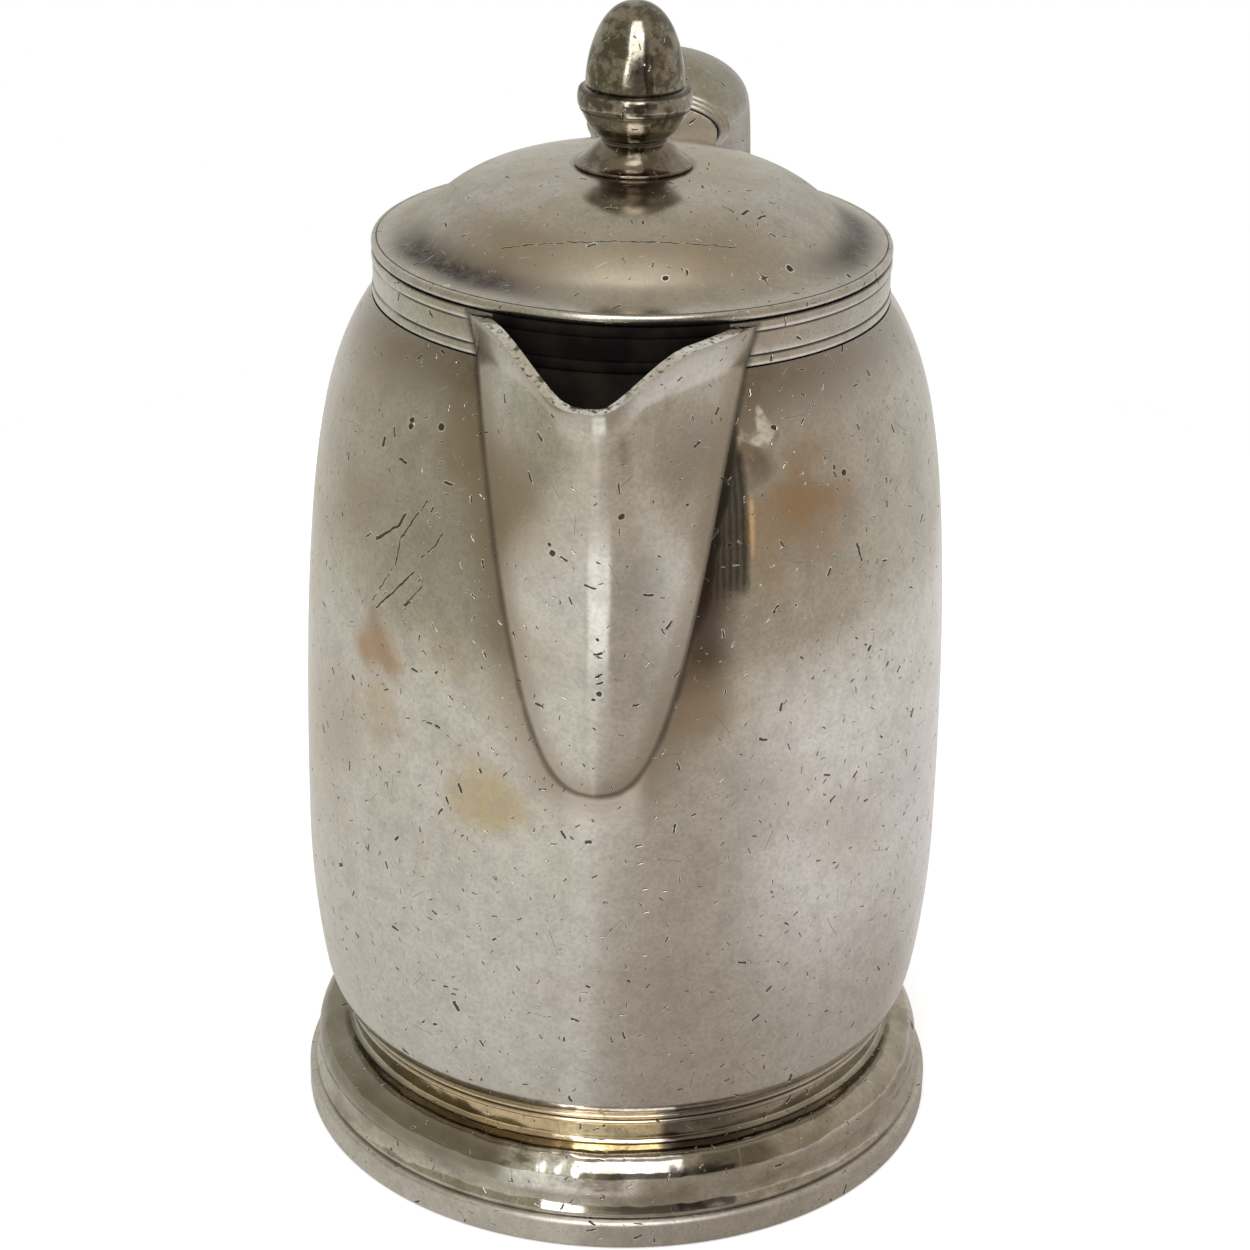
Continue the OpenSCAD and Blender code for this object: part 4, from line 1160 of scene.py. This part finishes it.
def lid_stains(finish, place, base):
    out = from_axis(place)
    uneven = finish.noise(place, 16 * mm, Detail=4)
    cove = abs(out + uneven * 3 - 32).step(4, 0.5)
    side = bearing(place)
    left = abs(side + 48).step(42, 12)
    right = abs(side - 88).step(38, 14) * 0.85
    base = finish.mix(cove * 0.3, base, COVE_BROWN)
    base = finish.mix(cove * left.most(right), base, COVE_PURPLE)
    low_front = out.step(21, 25) * out.step(31, 27) * abs(side + 5).step(70, 30)
    base = finish.mix(low_front * (0.35 + uneven * 0.8), base, FRONT_BROWN)
    rusty = (uneven * 1.4).step(0.5, 0.9) * out.step(28, 12) * 0.65
    return finish.mix(rusty, base, CROWN_BROWN)


def lid_haze(finish, place):
    """The steep side of the dome has lost its polish."""
    out = from_axis(place)
    return out.step(18, 25) * out.step(34, 30) * 0.3


coat(dome, silver(
    "lid_silver", shine=0.14, tarnish=0.9, wear=0.8, colour=(0.57, 0.54, 0.48), dents=0.1,
    knocks=LID_KNOCKS, grooves=LID_NICKS,
    add_stains=lid_stains, add_dirt_and_shade=lid_dirt_and_shade, add_haze=lid_haze))
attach(dome, "lid")
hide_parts("lid_dome")

# ---- Lid edge ----
# A fine half-round moulding is soldered round the lid's edge. Below it a plain flange of strip
# enters the collar and keeps the lid in place.
rim_line = [(BEZEL_R, LID_Z)] + reed(MOUTH_R - 0.35, LID_Z, LID_Z + RIM_HEIGHT, 0.35, 12)
rim_line += [(FLANGE_R + 0.02, LID_Z + RIM_HEIGHT), (FLANGE_R + 0.02, FLANGE_Z),
             (BEZEL_R, FLANGE_Z), (BEZEL_R, LID_Z)]
rim = turned("lid_edge", rim_line, steps=256)


def rim_dirt(finish, place):
    out = from_axis(place)
    return abs(out - FLANGE_R).step(0.3, 0.08) * (0.5 + finish.noise(place, 6 * mm, Detail=3) * 0.6)


coat(rim, silver(
    "rim_silver", shine=0.22, tarnish=0.5, wear=1.0, colour=(0.60, 0.57, 0.52), dents=0.05,
    add_dirt_and_shade=rim_dirt))
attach(rim, "lid")
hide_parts("lid_rim")
coat(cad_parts["lid_bezel"],
     silver("bezel_silver", shine=0.35, tarnish=1.4, wear=0.3, colour=(0.5, 0.46, 0.4)))

# ---- Finial ----
# The finial is an acorn, turned from the solid: a spreading base, a round cup with a rolled rim, and the nut.
# A screw from inside the dome holds it to the lid.
PEDESTAL_R = 8.0
FINIAL_NECK_R = 4.5
ACORN_Z = DOME_Z + 3.8
CUP_R = 7.65
CUP_HEIGHT = 7.0
ACORN_R = 6.6
ACORN_HEIGHT = 11.0
SCREW_R = 1.5

pedestal_line = [(SCREW_R + 0.05, DOME_Z + 0.01), (PEDESTAL_R - 0.15, DOME_Z + 0.01)]
pedestal_line += arc((PEDESTAL_R - 0.25, DOME_Z + 0.25), 0.25, 0.25, -60, 90, 8)
pedestal_line += curve([(PEDESTAL_R - 0.3, DOME_Z + 0.5), (PEDESTAL_R - 1.6, DOME_Z + 1.0),
                        (FINIAL_NECK_R + 1.2, ACORN_Z - 1.4), (FINIAL_NECK_R, ACORN_Z - 0.5)], 18)
pedestal_line += [(FINIAL_NECK_R, ACORN_Z), (SCREW_R + 0.05, ACORN_Z), pedestal_line[0]]
pedestal = turned("finial_base", pedestal_line, steps=128)

rim_z = ACORN_Z + 0.72 * CUP_HEIGHT
nut_z = ACORN_Z + CUP_HEIGHT
acorn_line = [(0, ACORN_Z)] + curve([(FINIAL_NECK_R, ACORN_Z), (FINIAL_NECK_R + 1.7, ACORN_Z + 1.1),
                                     (CUP_R - 1, rim_z - 2.2), (CUP_R - 0.3, rim_z - 1.2)], 16)
acorn_line += reed(CUP_R - 0.35, rim_z - 1, rim_z + 1.5, 0.35, 12)
acorn_line += [(ACORN_R - 0.15, nut_z - 0.15)]
for i in range(37):
    lean = math.radians(2.5 * i)
    acorn_line.append((ACORN_R * math.cos(lean) ** 0.85, nut_z + ACORN_HEIGHT * math.sin(lean) ** 1.1))
acorn = turned("finial_acorn", acorn_line, steps=128)


def finial_dirt(finish, place):
    return rings(place, (ACORN_Z - 0.2, rim_z - 1.1, rim_z + 1.5, nut_z), 0.3, 0.05) * 0.8


FINIAL_DARK = (0.09, 0.075, 0.05)
FINIAL_BARE = (0.70, 0.67, 0.60)
FINIAL_BROWN = (0.15, 0.11, 0.07)


def finial_stains(finish, place, base):
    """Handling has left it mottled, dark and bare by turns."""
    mottled = finish.noise(place, 3 * mm, Detail=6, Roughness=0.7)
    base = finish.mix(mottled.step(0.46, 0.58) * 0.9, base, FINIAL_DARK)
    base = finish.mix(mottled.step(0.42, 0.3) * 0.6, base, FINIAL_BARE)
    low = (place.axis("Z") / mm).step(ACORN_Z + 3, ACORN_Z - 1)
    return finish.mix(low * 0.6, base, FINIAL_BROWN)


finial_silver = silver("finial_silver", shine=0.1, tarnish=0.8, wear=0.8, colour=(0.33, 0.305, 0.26),
                       dents=0.5, add_stains=finial_stains, add_dirt_and_shade=finial_dirt)
for piece, node in ((pedestal, "finial_pedestal"), (acorn, "acorn")):
    coat(piece, finial_silver)
    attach(piece, "lid")
    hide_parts(node)
